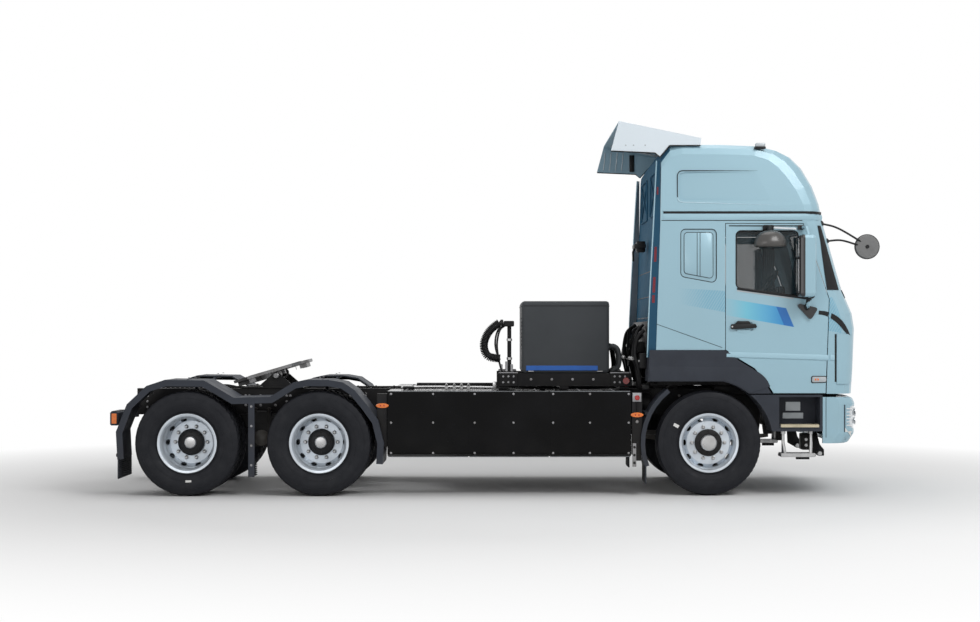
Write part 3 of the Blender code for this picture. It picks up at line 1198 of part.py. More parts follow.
def build_interior():
    """The dashboard with the steering wheel, two seats and the bunk."""
    side = rounded([(3.20, 1.95), (3.12, 2.02), (3.20, 2.08), (3.46, 2.07), (3.50, 1.95),
                    (3.48, FLOOR_TOP + SEAT_GAP),
                    (3.36, FLOOR_TOP + SEAT_GAP), (3.34, 1.75)], 0.02)
    dash = prism(side, "Y", 0.11 - CAB_HALF_WIDTH, CAB_HALF_WIDTH - 0.11)
    wheel_y = SEAT_Y + 0.01
    column = cylinder((3.30, wheel_y, 2.01), (3.075, wheel_y, 2.18), 0.035, 8)
    hub = Vector((3.06, wheel_y, 2.19))
    wheel = lathe([(0.215 + 0.016 * math.cos(t * math.tau / 6),
                    0.016 * math.sin(t * math.tau / 6)) for t in range(6)],
                  (0, 0, 0), "Z", 16)
    fuse(wheel, block((-0.03, 0.03), (-0.215, 0.215), (-0.01, 0.01)),
         block((-0.215, 0.0), (-0.025, 0.025), (-0.01, 0.01)))
    fuse(wheel, lathe([(0.0, -0.03), (0.055, -0.03), (0.055, 0.015), (0.0, 0.02)], (0, 0, 0), "Z", 12))
    transform(wheel, Matrix.Translation(hub) @ Matrix.Rotation(math.radians(-58), 4, "Y"))
    fuse(dash, column, wheel)
    finish(dash, "dashboard", DARK_PLASTIC, 0.6)
    seat = block((2.40, 2.86), (SEAT_Y - 0.25, SEAT_Y + 0.25), (1.86, 1.99), 0.03)
    pedestal = block((2.46, 2.84), (SEAT_Y - 0.19, SEAT_Y + 0.19), (FLOOR_TOP + SEAT_GAP, 1.88), 0.02)
    back = block((2.33, 2.45), (SEAT_Y - 0.24, SEAT_Y + 0.24), (1.93, 2.60), 0.03)
    turned(back, -8, "Y", (2.39, 0.6, 1.93))
    head = block((2.31, 2.39), (SEAT_Y - 0.14, SEAT_Y + 0.14), (2.56, 2.76), 0.025)
    turned(head, -8, "Y", (2.39, 0.6, 1.93))
    pair(fuse(seat, pedestal, back, head), "seat", TRIM_GREY, 0.9)
    half = CAB_HALF_WIDTH - 0.13
    bunk = block((CAB_REAR_TOP_X + CAB_WALL + 0.005, 2.24), (-half, half), (FLOOR_TOP + SEAT_GAP, 1.98),
                 0.03)
    finish(bunk, "bunk", (0.25, 0.25, 0.26), 0.9)


# Front end on the chassis

def bumper_outline():
    return rounded([(3.50, 0.542, 0.0), (3.70, 0.542, 0.04), (3.765, 0.64, 0.03), (3.772, 0.95, 0.03),
                    (3.745, 1.015, 0.04), (3.50, 1.015, 0.0)], 0.03)


def lamp_outline(depth=0.0):
    far = CAB_HALF_WIDTH - 0.05
    return inset(rounded([(INNER_Y, 0.66), (far, 0.70), (far, 0.93), (INNER_Y + 0.04, 0.90)], 0.03), depth)


def build_bumper():
    """The wrapped front bumper: a shell open to the rear with lamp openings and its brackets."""
    half = CAB_HALF_WIDTH
    bumper = cab_block(bumper_outline(), 0.0)
    cut(bumper, block((2.9, 3.33 + SEAT_GAP), (-CLEAR_Y, CLEAR_Y), (0.3, 1.3)))
    cut(bumper, cab_block([(3.1, 0.58), (3.72, 0.58), (3.735, 0.66), (3.735, 0.94), (3.70, 0.98),
                           (3.1, 0.98)], 0.0, half - 0.035))
    cut(bumper, block((3.0, 3.66), (0.31 - half, half - 0.31), (0.90, 1.2)))
    for side in (1, -1):
        hole = [(side * y, z) for y, z in lamp_outline()]
        cut(bumper, prism(hole, "X", 3.2, 4.0))
        bracket = block((FRAME_FRONT_X + SEAT_GAP, 3.75),
                        sorted((side * (FRAME_HALF_WIDTH - 0.04), side * (FRAME_HALF_WIDTH + 0.005))),
                        (0.82, 0.93))
        fuse(bumper, bracket)
        slot_y = (TILT_ARM_Y[0] - RUN_GAP, TILT_ARM_Y[1] + RUN_GAP)
        cut(bumper, block((3.0, 3.695), sorted((side * slot_y[0], side * slot_y[1])), (0.90, 1.2)))
    cut(bumper, block((3.745, 4.0), (0.51 - half, half - 0.51), (0.66, 0.86)))
    finish(bumper, "front_bumper", BODY_BLUE, 0.3, 0.4)

    for side, name in ((1, "headlamp_left"), (-1, "headlamp_right")):
        lamp = cab_block(bumper_outline(), 0.004)
        tool = [(side * y, z) for y, z in lamp_outline(SEAT_GAP)]
        keep(lamp, prism(tool, "X", 3.2, 4.0))
        cut(lamp, cab_block([(3.0, 0.5), (3.70, 0.5), (3.70, 1.1), (3.0, 1.1)], 0.0, half + 0.1))
        finish(lamp, name, LAMP_CLEAR, 0.1, 0.2)


def build_steps():
    """A step box under each door with a hanging step, joined by a tube below the rails."""
    reach = INNER_Y + 0.07
    bar = cylinder((3.10, -reach, 0.745), (3.10, reach, 0.745), 0.05, 12)
    arc = []
    for k in range(6):
        angle = math.radians(50.0 - 38.0 * k / 5)
        arc.append((FRONT_AXLE_X + ARCH_RADIUS * math.cos(angle), AXLE_Z + ARCH_RADIUS * math.sin(angle)))
    top = 1.038
    for side in (1, -1):
        under = sorted((side * (FRAME_HALF_WIDTH - 0.075), side * (FRAME_HALF_WIDTH + 0.005)))
        fuse(bar, block((3.06, 3.14), under, (0.745, FRAME_BOTTOM - SEAT_GAP)))
        inner = side * INNER_Y
        outer = side * (CAB_HALF_WIDTH - 0.005)
        body = prism([(3.33, 0.664), (3.33, top), *arc, (2.815, 0.664)], "Y", *sorted((inner, outer)))
        cut(body, block((2.885, 3.305), sorted((side * (INNER_Y + 0.09), side * PAST_Y)), (0.72, 1.015)))
        edge = block((2.89, 3.30), sorted((side * (CAB_HALF_WIDTH - 0.08),
                                           side * (CAB_HALF_WIDTH + 0.005))),
                     (0.70, 0.726))
        fuse(body, edge)
        legs = sorted((side * (CAB_HALF_WIDTH - 0.09), side * (CAB_HALF_WIDTH - 0.06)))
        for x in (2.935, 3.222):
            fuse(body, block((x - 0.012, x + 0.012), legs, (0.42, 0.68)))
        tread = sorted((side * (CAB_HALF_WIDTH - 0.17), side * (CAB_HALF_WIDTH - 0.01)))
        fuse(body, block((2.90, 3.26), tread, (0.405, 0.430), 0.004))
        fuse(bar, body)
    finish(bar, "front_steps", DARK_PLASTIC, 0.55)


def main():
    clear_scene()
    build_wheels()
    build_knuckles()
    build_tie_rod()
    build_front_axle()
    build_drive_axles()
    build_bogie_suspension()
    build_frame()
    build_drive_motor()
    build_batteries()
    build_fenders()
    build_fifth_wheel()
    build_electronics()
    build_cab_shell()
    build_roof()
    build_deflector()
    build_glass()
    build_doors()
    build_mirrors()
    build_cab_floor()
    build_interior()
    build_bumper()
    build_steps()


main()
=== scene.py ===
"""Looks of the battery-electric tractor unit: materials, wheels, cab details, chassis fittings, interior."""
import math

import bmesh
import bpy
from mathutils import Matrix, Vector


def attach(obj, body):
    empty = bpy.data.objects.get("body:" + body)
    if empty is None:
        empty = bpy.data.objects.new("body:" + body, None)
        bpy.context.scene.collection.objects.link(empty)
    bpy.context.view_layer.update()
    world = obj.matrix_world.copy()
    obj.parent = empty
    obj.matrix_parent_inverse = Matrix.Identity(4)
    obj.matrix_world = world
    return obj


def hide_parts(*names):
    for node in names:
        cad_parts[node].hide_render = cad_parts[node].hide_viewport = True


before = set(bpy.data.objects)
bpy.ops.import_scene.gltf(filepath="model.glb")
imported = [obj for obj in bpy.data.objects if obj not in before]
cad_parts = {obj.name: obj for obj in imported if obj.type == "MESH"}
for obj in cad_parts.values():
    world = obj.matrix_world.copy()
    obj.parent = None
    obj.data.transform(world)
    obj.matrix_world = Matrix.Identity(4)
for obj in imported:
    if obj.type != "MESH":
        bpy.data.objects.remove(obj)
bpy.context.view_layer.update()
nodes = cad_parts

# Camera first

camera_data = bpy.data.cameras.new("camera")
camera_data.lens = 61.0
camera_data.sensor_width = 36.0
camera_data.shift_y = 0.0245
camera = bpy.data.objects.new("camera", camera_data)
camera.location = (-0.075, -18.2, 1.65)
camera.rotation_euler = (math.radians(90), 0, 0)
bpy.context.scene.collection.objects.link(camera)
bpy.context.scene.camera = camera


# Materials

def srgb(red, green, blue):
    """Linear colour from 0 to 255 display values."""
    return tuple((value / 255 / 12.92) if value < 10.3 else ((value / 255 + 0.055) / 1.055) ** 2.4
                 for value in (red, green, blue))


class Look:
    """A procedural material in object coordinates, with a chain of colour layers."""

    def __init__(self, name, colour, roughness, metallic=0.0, coat=0.0):
        self.material = bpy.data.materials.new(name)
        self.material.use_nodes = True
        self.tree = self.material.node_tree
        self.shader = self.tree.nodes["Principled BSDF"]
        self.shader.inputs["Roughness"].default_value = roughness
        self.shader.inputs["Metallic"].default_value = metallic
        self.shader.inputs["Coat Weight"].default_value = coat
        self.shader.inputs["Coat Roughness"].default_value = 0.06
        self.place = self.tree.nodes.new("ShaderNodeTexCoord").outputs["Object"]
        self.axes = self.add("ShaderNodeSeparateXYZ", self.place)
        colour_node = self.tree.nodes.new("ShaderNodeRGB")
        colour_node.outputs[0].default_value = (*colour, 1.0)
        self.colour = colour_node.outputs[0]
        self.height = None
        self.roughness = roughness

    def add(self, kind, *sources, **settings):
        node = self.tree.nodes.new(kind)
        for key, value in settings.items():
            setattr(node, key, value)
        for socket, source in zip(node.inputs, sources):
            self.feed(socket, source)
        return node

    def feed(self, socket, source):
        if source is None:
            return
        if isinstance(source, bpy.types.NodeSocket):
            self.tree.links.new(source, socket)
        else:
            socket.default_value = source

    def maths(self, operation, *sources):
        return self.add("ShaderNodeMath", *sources, operation=operation).outputs[0]

    def ramp(self, value, low, high):
        """0 below low, 1 above high."""
        node = self.add("ShaderNodeMapRange", value, low, high, 0.0, 1.0, clamp=True)
        return node.outputs[0]

    def noise(self, scale, detail=3.0, stretch=(1, 1, 1)):
        place = self.place
        if stretch != (1, 1, 1):
            place = self.add("ShaderNodeVectorMath", self.place, stretch, operation="MULTIPLY").outputs[0]
        node = self.add("ShaderNodeTexNoise")
        self.tree.links.new(place, node.inputs["Vector"])
        node.inputs["Scale"].default_value = scale
        node.inputs["Detail"].default_value = detail
        return node.outputs["Fac"]

    def layer(self, mask, colour, strength=1.0):
        """Lay a colour over what is there where the mask is 1."""
        node = self.tree.nodes.new("ShaderNodeMix")
        node.data_type = "RGBA"
        factor = self.maths("MULTIPLY", mask, strength) if strength != 1.0 else mask
        self.tree.links.new(factor, node.inputs[0])
        self.tree.links.new(self.colour, node.inputs[6])
        self.feed(node.inputs[7], (*colour, 1.0) if isinstance(colour, tuple) else colour)
        self.colour = node.outputs[2]
        return self

    def mottle(self, scale, colour, strength, low=0.45, high=0.7):
        return self.layer(self.ramp(self.noise(scale), low, high), colour, strength)

    def dust(self, top, strength=0.5, colour=(0.19, 0.165, 0.13)):
        """Dust that thickens towards the ground, broken up by noise."""
        fall = self.ramp(self.axes.outputs[2], top, 0.0)
        broken = self.ramp(self.noise(5.0, 6.0), 0.35, 0.75)
        return self.layer(self.maths("MULTIPLY", fall, broken), colour, strength)

    def bump(self, height, strength, distance):
        node = self.tree.nodes.new("ShaderNodeBump")
        node.inputs["Strength"].default_value = strength
        node.inputs["Distance"].default_value = distance
        self.tree.links.new(height, node.inputs["Height"])
        if self.height is not None:
            self.tree.links.new(self.height, node.inputs["Normal"])
        self.height = node.outputs[0]
        return self

    def grain(self, scale, distance=0.0004, strength=0.5, detail=3.0, stretch=(1, 1, 1)):
        return self.bump(self.noise(scale, detail, stretch), strength, distance)

    def rough(self, scale, spread):
        """Vary the roughness about its level."""
        node = self.add("ShaderNodeMapRange", self.noise(scale, 4.0), 0.3, 0.7,
                        max(0.02, self.roughness - spread), min(1.0, self.roughness + spread), clamp=True)
        self.tree.links.new(node.outputs[0], self.shader.inputs["Roughness"])
        return self

    def set(self, **values):
        for key, value in values.items():
            self.shader.inputs[key.replace("_", " ")].default_value = value
        return self

    def done(self):
        self.tree.links.new(self.colour, self.shader.inputs["Base Color"])
        if self.height is not None:
            self.tree.links.new(self.height, self.shader.inputs["Normal"])
        return self.material


BLUE = srgb(151, 186, 200)
# Radius of the dark rods along the roof recess's top edge, which are painted shadow lines.
RECESS_SHADOW_RADIUS = 0.0046


def cab_paint(name, colour=BLUE, shade=0.9):
    """Metallic cab paint: soft tone changes, fine flake, road dust low down."""
    look = Look(name, colour, 0.36, 0.12, 0.30)
    look.layer(look.ramp(look.noise(0.9, 1.0), 0.25, 0.75), tuple(c * shade for c in colour), 0.5)
    look.layer(look.ramp(look.noise(1100.0, 1.0), 0.45, 0.65), tuple(min(1.0, c * 1.2) for c in colour), 0.2)
    look.dust(1.45, 0.16)
    look.grain(700.0, 0.00004, 0.1)
    look.rough(1.4, 0.035)
    return look


body_paint = cab_paint("body_paint").done()
white_paint = cab_paint("white_paint", srgb(214, 224, 231), 0.93).done()
black_steel = (Look("black_paint", (0.009, 0.009, 0.010), 0.42, 0.1).mottle(6.0, (0.018, 0.017, 0.016), 0.5)
               .dust(1.0, 0.15).grain(90.0, 0.0003, 0.4).rough(7.0, 0.12).set(Specular_IOR_Level=0.15).done())
gloss_black = (Look("gloss_black", (0.0022, 0.0022, 0.0025), 0.14, 0.0, 0.0)
               .mottle(2.0, (0.007, 0.007, 0.008), 0.6).dust(0.70, 0.05).grain(3.0, 0.002, 0.06)
               .rough(4.0, 0.05).set(Specular_IOR_Level=0.1).done())
cast_iron = (Look("forged_steel", (0.075, 0.073, 0.07), 0.55, 0.7).mottle(9.0, (0.05, 0.04, 0.032), 0.6)
             .dust(0.9, 0.4).grain(70.0, 0.0006, 0.5).rough(9.0, 0.12).done())
motor_metal = (Look("motor_metal", (0.28, 0.28, 0.29), 0.5, 0.85).mottle(7.0, (0.16, 0.15, 0.14), 0.6)
               .dust(0.9, 0.4).grain(60.0, 0.0006, 0.5).rough(8.0, 0.1).done())
machined = (Look("cast_plate", (0.20, 0.20, 0.205), 0.38, 0.85).mottle(5.0, (0.09, 0.085, 0.08), 0.7)
            .grain(30.0, 0.0005, 0.3, 4.0, (1, 12, 1)).rough(6.0, 0.12).done())
rim_silver = (Look("rim_silver", srgb(206, 214, 222), 0.36, 0.55, 0.2).mottle(5.0, srgb(176, 184, 192), 0.5)
              .dust(0.9, 0.3).grain(240.0, 0.0001, 0.3).rough(6.0, 0.08).done())
rubber = (Look("tyre_black", (0.0105, 0.0115, 0.015), 0.58).mottle(14.0, (0.017, 0.018, 0.022), 0.5)
          .dust(1.1, 0.05, (0.07, 0.065, 0.06)).grain(220.0, 0.0005, 0.4).rough(11.0, 0.10)
          .set(Specular_IOR_Level=0.2).done())
dark_plastic = (Look("dark_plastic", srgb(52, 56, 64), 0.55).mottle(4.0, srgb(44, 47, 54), 0.6)
                .dust(1.0, 0.12).grain(420.0, 0.0004, 0.6).rough(6.0, 0.08)
                .set(Specular_IOR_Level=0.2).done())
black_plastic = (Look("cabin_plastic", (0.014, 0.014, 0.015), 0.45).mottle(6.0, (0.022, 0.022, 0.023), 0.6)
                 .grain(500.0, 0.0003, 0.6).rough(9.0, 0.08).set(Specular_IOR_Level=0.2).done())
box_paint = (Look("grey_paint", srgb(68, 71, 74), 0.55, 0.0).mottle(2.0, srgb(62, 65, 68), 0.6)
             .grain(150.0, 0.0002, 0.35).rough(5.0, 0.07).set(Specular_IOR_Level=0.15).done())
strip_blue = (Look("strip_blue", srgb(20, 92, 178), 0.35).mottle(6.0, srgb(16, 78, 150), 0.5).rough(9.0, 0.05)
              .done())
hose_black = (Look("hose_black", (0.010, 0.010, 0.011), 0.38).mottle(30.0, (0.02, 0.02, 0.02), 0.5)
              .grain(300.0, 0.0002, 0.4).rough(12.0, 0.1).set(Specular_IOR_Level=0.2).done())
chrome = (Look("chrome", (0.72, 0.73, 0.74), 0.12, 1.0).mottle(20.0, (0.6, 0.6, 0.62), 0.4).rough(15.0, 0.05)
          .done())
bright_steel = (Look("bright_steel", (0.48, 0.48, 0.48), 0.32, 0.9).mottle(12.0, (0.34, 0.34, 0.34), 0.5)
                .grain(120.0, 0.0002, 0.4).rough(9.0, 0.1).done())
pale_metal = (Look("pale_metal", srgb(176, 182, 186), 0.42, 0.3).mottle(5.0, srgb(150, 156, 160), 0.5)
              .grain(150.0, 0.0002, 0.35).rough(7.0, 0.08).done())
orange_lens = (Look("orange_lens", srgb(232, 118, 18), 0.15, 0.0, 0.5).mottle(40.0, srgb(190, 80, 8), 0.5)
               .grain(260.0, 0.0006, 0.6).rough(9.0, 0.05).done())
red_lens = (Look("red_lens", srgb(170, 20, 16), 0.15, 0.0, 0.5).mottle(40.0, srgb(110, 8, 8), 0.5)
            .grain(260.0, 0.0006, 0.6).rough(9.0, 0.05).done())
white_mark = (Look("white_mark", (0.75, 0.75, 0.73), 0.5).mottle(60.0, (0.55, 0.55, 0.53), 0.5)
              .rough(20.0, 0.1).done())
mirror_glass = Look("mirror_glass", (0.8, 0.82, 0.84), 0.04, 1.0).mottle(3.0, (0.7, 0.72, 0.74), 0.3).done()
cabin_trim = (Look("cabin_trim", srgb(92, 92, 96), 0.75).mottle(8.0, srgb(80, 80, 84), 0.6)
              .grain(350.0, 0.0004, 0.5).rough(8.0, 0.08).done())


def glass(name, tint, alpha):
    look = Look(name, tint, 0.04, 0.0, 0.0)
    look.mottle(1.5, tuple(c * 0.8 for c in tint), 0.4)
    look.set(Alpha=alpha, IOR=1.5)
    look.rough(3.0, 0.02)
    look.material.surface_render_method = "BLENDED"
    return look.done()


window_glass = glass("tinted_glass", (0.02, 0.035, 0.042), 0.42)


# Mesh helpers

def shape(name, bm, material, body, angle=35, smooth=True):
    """Turn a bmesh into a piece that rides on a body."""
    bmesh.ops.recalc_face_normals(bm, faces=bm.faces)
    mesh = bpy.data.meshes.new(name)
    bm.to_mesh(mesh)
    bm.free()
    item = bpy.data.objects.new(name, mesh)
    bpy.context.scene.collection.objects.link(item)
    for each in (material if isinstance(material, (list, tuple)) else [material]):
        mesh.materials.append(each)
    if smooth:
        mesh.shade_smooth()
        mesh.set_sharp_from_angle(angle=math.radians(angle))
    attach(item, body)
    return item


def place_in(bm, part, matrix=None, material=0):
    """Join one bmesh into another."""
    if matrix is not None:
        bmesh.ops.transform(part, matrix=matrix, verts=part.verts)
    lookup = [bm.verts.new(v.co) for v in part.verts]
    bm.verts.index_update()
    part.verts.index_update()
    for face in part.faces:
        new = bm.faces.new([lookup[v.index] for v in face.verts])
        new.material_index = material
    part.free()


def box(bm, x, y, z, bevel=0.004, segments=2, material=0, matrix=None):
    part = bmesh.new()
    size = Vector((x[1] - x[0], y[1] - y[0], z[1] - z[0]))
    middle = Vector((x[1] + x[0], y[1] + y[0], z[1] + z[0])) / 2
    bmesh.ops.create_cube(part, size=1.0, matrix=Matrix.Translation(middle) @ Matrix.Diagonal((*size, 1.0)))
    width = min(bevel, min(abs(s) for s in size) * 0.45)
    if width > 0:
        bmesh.ops.bevel(part, geom=part.edges[:], offset=width, segments=segments, profile=0.5,
                        affect="EDGES")
    place_in(bm, part, matrix, material)


def turn(bm, profile, centre, axis=(0, 1, 0), sides=32, material=0, start=0.0):
    """Turn a closed (radius, along) profile about an axis through centre."""
    part = bmesh.new()
    rings = []
    axis = Vector(axis).normalized()
    side = axis.orthogonal().normalized()
    up = axis.cross(side)
    for radius, along in profile:
        if radius < 1e-6:
            rings.append([part.verts.new(axis * along)])
            continue
        ring = []
        for k in range(sides):
            angle = math.tau * k / sides + start
            outward = side * math.cos(angle) + up * math.sin(angle)
            ring.append(part.verts.new(axis * along + outward * radius))
        rings.append(ring)
    pairs = list(zip(rings, rings[1:]))
    if profile[0][0] > 1e-6 and profile[-1][0] > 1e-6:
        pairs.append((rings[-1], rings[0]))
    for one, two in pairs:
        for k in range(sides):
            n = (k + 1) % sides
            corners = [one[k % len(one)], one[n % len(one)], two[n % len(two)], two[k % len(two)]]
            unique = []
            for corner in corners:
                if corner not in unique:
                    unique.append(corner)
            if len(unique) > 2:
                part.faces.new(unique)
    place_in(bm, part, Matrix.Translation(centre), material)


def ring_round(part, middle, normal, across, radius, sides):
    """A circle of new vertices about middle, in the plane of normal and across."""
    return [part.verts.new(middle + (normal * math.cos(math.tau * k / sides)
                                     + across * math.sin(math.tau * k / sides)) * radius)
            for k in range(sides)]


def skin_rings(part, rings, closed=False):
    """Faces between rings that have as many points each, capped unless the row of rings is closed."""
    if not closed:
        part.faces.new(rings[0])
        part.faces.new(rings[-1])
    for one, two in zip(rings, rings[1:] + (rings[:1] if closed else [])):
        for k in range(len(one)):
            n = (k + 1) % len(one)
            part.faces.new((one[k], one[n], two[n], two[k]))


def rod(bm, points, radius, sides=10, material=0):
    """A round bar along points."""
    part = bmesh.new()
    points = [Vector(p) for p in points]
    normal = (points[1] - points[0]).orthogonal().normalized()
    rings = []
    for i, point in enumerate(points):
        tangent = (points[min(i + 1, len(points) - 1)] - points[max(i - 1, 0)]).normalized()
        normal = (normal - tangent * normal.dot(tangent)).normalized()
        across = tangent.cross(normal)
        rings.append(ring_round(part, point, normal, across, radius, sides))
    skin_rings(part, rings)
    place_in(bm, part, None, material)


def slab(bm, outline, axis, low, high, bevel=0.0, material=0, matrix=None):
    """Extrude an outline in the two other axes along X, Y or Z."""
    part = bmesh.new()
    order = {"X": (1, 2, 0), "Y": (0, 2, 1), "Z": (0, 1, 2)}[axis]
    rings = []
    for level in (low, high):
        ring = []
        for a, b in outline:
            spot = [0.0, 0.0, 0.0]
            spot[order[0]], spot[order[1]], spot[order[2]] = a, b, level
            ring.append(part.verts.new(spot))
        rings.append(ring)
        part.faces.new(ring)
    for i in range(len(outline)):
        j = (i + 1) % len(outline)
        part.faces.new((rings[0][i], rings[0][j], rings[1][j], rings[1][i]))
    if bevel:
        bmesh.ops.bevel(part, geom=part.edges[:], offset=bevel, segments=2, profile=0.5, affect="EDGES",
                        clamp_overlap=True)
    place_in(bm, part, matrix, material)


def curve_through(points, each=8):
    """A smooth line through points."""
    points = [Vector(p) for p in points]
    ends = [points[0] * 2 - points[1]] + points + [points[-1] * 2 - points[-2]]
    result = []
    for a, b, c, d in zip(ends, ends[1:], ends[2:], ends[3:]):
        for k in range(each):
            t = k / each
            result.append(((b * 2) + (c - a) * t + (a * 2 - b * 5 + c * 4 - d) * t * t
                           + (b * 3 - a - c * 3 + d) * t ** 3) / 2)
    return result + [points[-1]]


def round_corners(outline, radius, steps=4):
    result = []
    count = len(outline)
    for i, corner in enumerate(outline):
        here = Vector(corner)
        before = Vector(outline[i - 1]) - here
        after = Vector(outline[(i + 1) % count]) - here
        half = before.angle(after) / 2
        reach = min(radius / math.tan(half), before.length * 0.48, after.length * 0.48)
        real = reach * math.tan(half)
        middle = here + (before.normalized() + after.normalized()).normalized() * real / math.sin(half)
        one = here + before.normalized() * reach - middle
        two = here + after.normalized() * reach - middle
        swing = one.angle_signed(two)
        for k in range(steps + 1):
            point = one.copy()
            point.rotate(Matrix.Rotation(-swing * k / steps, 2))
            result.append(tuple(middle + point))
    return result


def bolts(bm, spots, axis, radius=0.011, height=0.008, material=0):
    """Hexagon heads on washers."""
    for spot in spots:
        turn(bm, [(0, 0), (radius * 1.35, 0), (radius * 1.35, height * 0.25), (0, height * 0.25)], spot, axis,
             12, material)
        turn(bm, [(0, height * 0.2), (radius, height * 0.2), (radius, height * 0.9), (radius * 0.8, height),
                  (0, height)], spot, axis, 6, material)


def give(material, *names):
    for name in names:
        for slot in nodes[name].material_slots:
            slot.material = material


def span(side, one, two):
    """The range between two distances from the middle plane, on one side."""
    return sorted((side * one, side * two))


SIDES = (("left", 1), ("right", -1))

# Driving sizes from the part's source

AXLE_Z = 0.54
FRONT_X = 2.175
MID_X = -1.825
REAR_X = -3.175
FRONT_Y = 1.02
TWIN_Y = 0.93
TWIN_SPACING = 0.335
CAB_Y = 1.21
RAIL_Y = 0.4252

# The coiled hose that hangs from its post, a free cord

hose_radius = 0.0065
coil_outer = 0.045
post_y = -0.56
start = Vector((0.13 - 0.06 - 0.0003, post_y - 0.055, 1.77))
end = Vector((0.13 - 0.022 - coil_outer - 0.03, post_y - 0.055, 1.40))
route = curve_through([start, start + Vector((-0.03, 0, 0)), start + Vector((-0.06, 0, 0)),
                       start + Vector((-0.16, 0, -0.09)), start + Vector((-0.21, 0, -0.22)),
                       start + Vector((-0.17, 0, -0.34)), end], 12)


def lengths_along(path):
    """How far each point of a path is from its start, along it."""
    lengths = [0.0]
    for one, two in zip(path, path[1:]):
        lengths.append(lengths[-1] + (two - one).length)
    return lengths


def place_on(path, lengths, reach):
    """The point of a path at that length along it, and the direction there."""
    i = min(max(j for j in range(len(lengths)) if lengths[j] <= reach + 1e-9), len(path) - 2)
    share = (reach - lengths[i]) / (lengths[i + 1] - lengths[i])
    return path[i].lerp(path[i + 1], share), (path[i + 1] - path[i]).normalized()


def helix_round(path, turns, radius, each=16):
    """A helix of that many turns wound round a path."""
    lengths = lengths_along(path)
    points = []
    total = turns * each
    for k in range(total + 1):
        spot, tangent = place_on(path, lengths, lengths[-1] * k / total)
        side = Vector((0, 1, 0))
        up = tangent.cross(side).normalized()
        angle = math.tau * k / each
        points.append(spot + (side * math.cos(angle) + up * math.sin(angle)) * radius)
    return points


coil_bm = bmesh.new()
rod(coil_bm, helix_round(route, 40, coil_outer - hose_radius), hose_radius, 8)
coil = shape("coil_hose_turns", coil_bm, hose_black, "chassis", 80)
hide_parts("coil_hose")


# Wheels

def tyre_mesh(name, drive):
    """A tyre about the Y axis with its outer side at +Y, with a block or rib tread."""
    half = 0.15
    around = 180
    section = [(0.3185, -0.107), (0.333, -0.125), (0.36, -0.137), (0.40, -0.148), (0.44, -0.1495),
               (0.475, -0.147), (0.505, -0.140), (0.522, -0.134)]
    tread = []
    count = 26
    for k in range(count + 1):
        u = -0.126 + 0.252 * k / count
        tread.append((0.5395 - 0.012 * (abs(u) / 0.126) ** 3, u))
    full = section + tread + [(r, -u) for r, u in section[::-1]]
    bm = bmesh.new()
    rings = []
    for k in range(around):
        angle = math.tau * k / around
        ring = []
        for i, (r, u) in enumerate(full):
            deep = 0.0
            if len(section) <= i < len(section) + count + 1:
                if drive:
                    shift = 1 if u > 0 else 0
                    lane = min(abs(abs(u) - 0.078), abs(abs(u) - 0.026))
                    across = (k + shift * 2 + int(abs(u) / 0.03)) % 4 == 0
                    deep = 0.014 if lane < 0.004 or (across and abs(u) > 0.008) else 0.0
                else:
                    lane = min(abs(abs(u) - 0.073), abs(abs(u) - 0.024))
                    deep = 0.012 if lane < 0.0055 else 0.0
                    if deep == 0.0 and k % 3 == 0 and abs(u) > 0.085:
                        deep = 0.004
            elif drive and 0.50 < r < 0.53 and k % 4 == 0:
                deep = 0.006
            ring.append(bm.verts.new(((r - deep) * math.sin(angle), u, (r - deep) * math.cos(angle))))
        rings.append(ring)
    inner = [(0.2885, -0.105), (0.2885, 0.105)]
    for k in range(around):
        n = (k + 1) % around
        for i in range(len(full) - 1):
            bm.faces.new((rings[k][i], rings[k][i + 1], rings[n][i + 1], rings[n][i]))
    bores = []
    for k in range(around):
        angle = math.tau * k / around
        bores.append([bm.verts.new((r * math.sin(angle), u, r * math.cos(angle))) for r, u in inner])
    for k in range(around):
        n = (k + 1) % around
        bm.faces.new((bores[k][0], bores[k][1], bores[n][1], bores[n][0]))
        bm.faces.new((rings[k][0], bores[k][0], bores[n][0], rings[n][0]))
        bm.faces.new((rings[k][-1], bores[k][-1], bores[n][-1], rings[n][-1]))
    for radius, width in ((0.345, 0.004), (0.383, 0.003), (0.468, 0.004)):
        for sign in (1, -1):
            lift = 0.129 if radius < 0.36 else (0.1435 if radius < 0.4 else 0.1475)
            turn(bm, [(radius - width, sign * (lift - 0.004)), (radius - width * 0.5, sign * (lift + 0.0016)),
                      (radius + width * 0.5, sign * (lift + 0.0016)),
                      (radius + width, sign * (lift - 0.004))], (0, 0, 0), (0, 1, 0), 90)
    bmesh.ops.recalc_face_normals(bm, faces=bm.faces)
    mesh = bpy.data.meshes.new(name)
    bm.to_mesh(mesh)
    bm.free()
    mesh.materials.append(rubber)
    mesh.shade_smooth()
    mesh.set_sharp_from_angle(angle=math.radians(30))
    return mesh


def set_down(mesh, name, centre, side, body, node):
    """A copy of a wheel mesh at its place; side -1 turns it round to face right."""
    data = mesh.copy()
    matrix = Matrix.Translation(centre)
    if side < 0:
        matrix = matrix @ Matrix.Rotation(math.pi, 4, "Z")
    data.transform(matrix)
    item = bpy.data.objects.new(name, data)
    bpy.context.scene.collection.objects.link(item)
    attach(item, body)
    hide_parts(node)
    return item


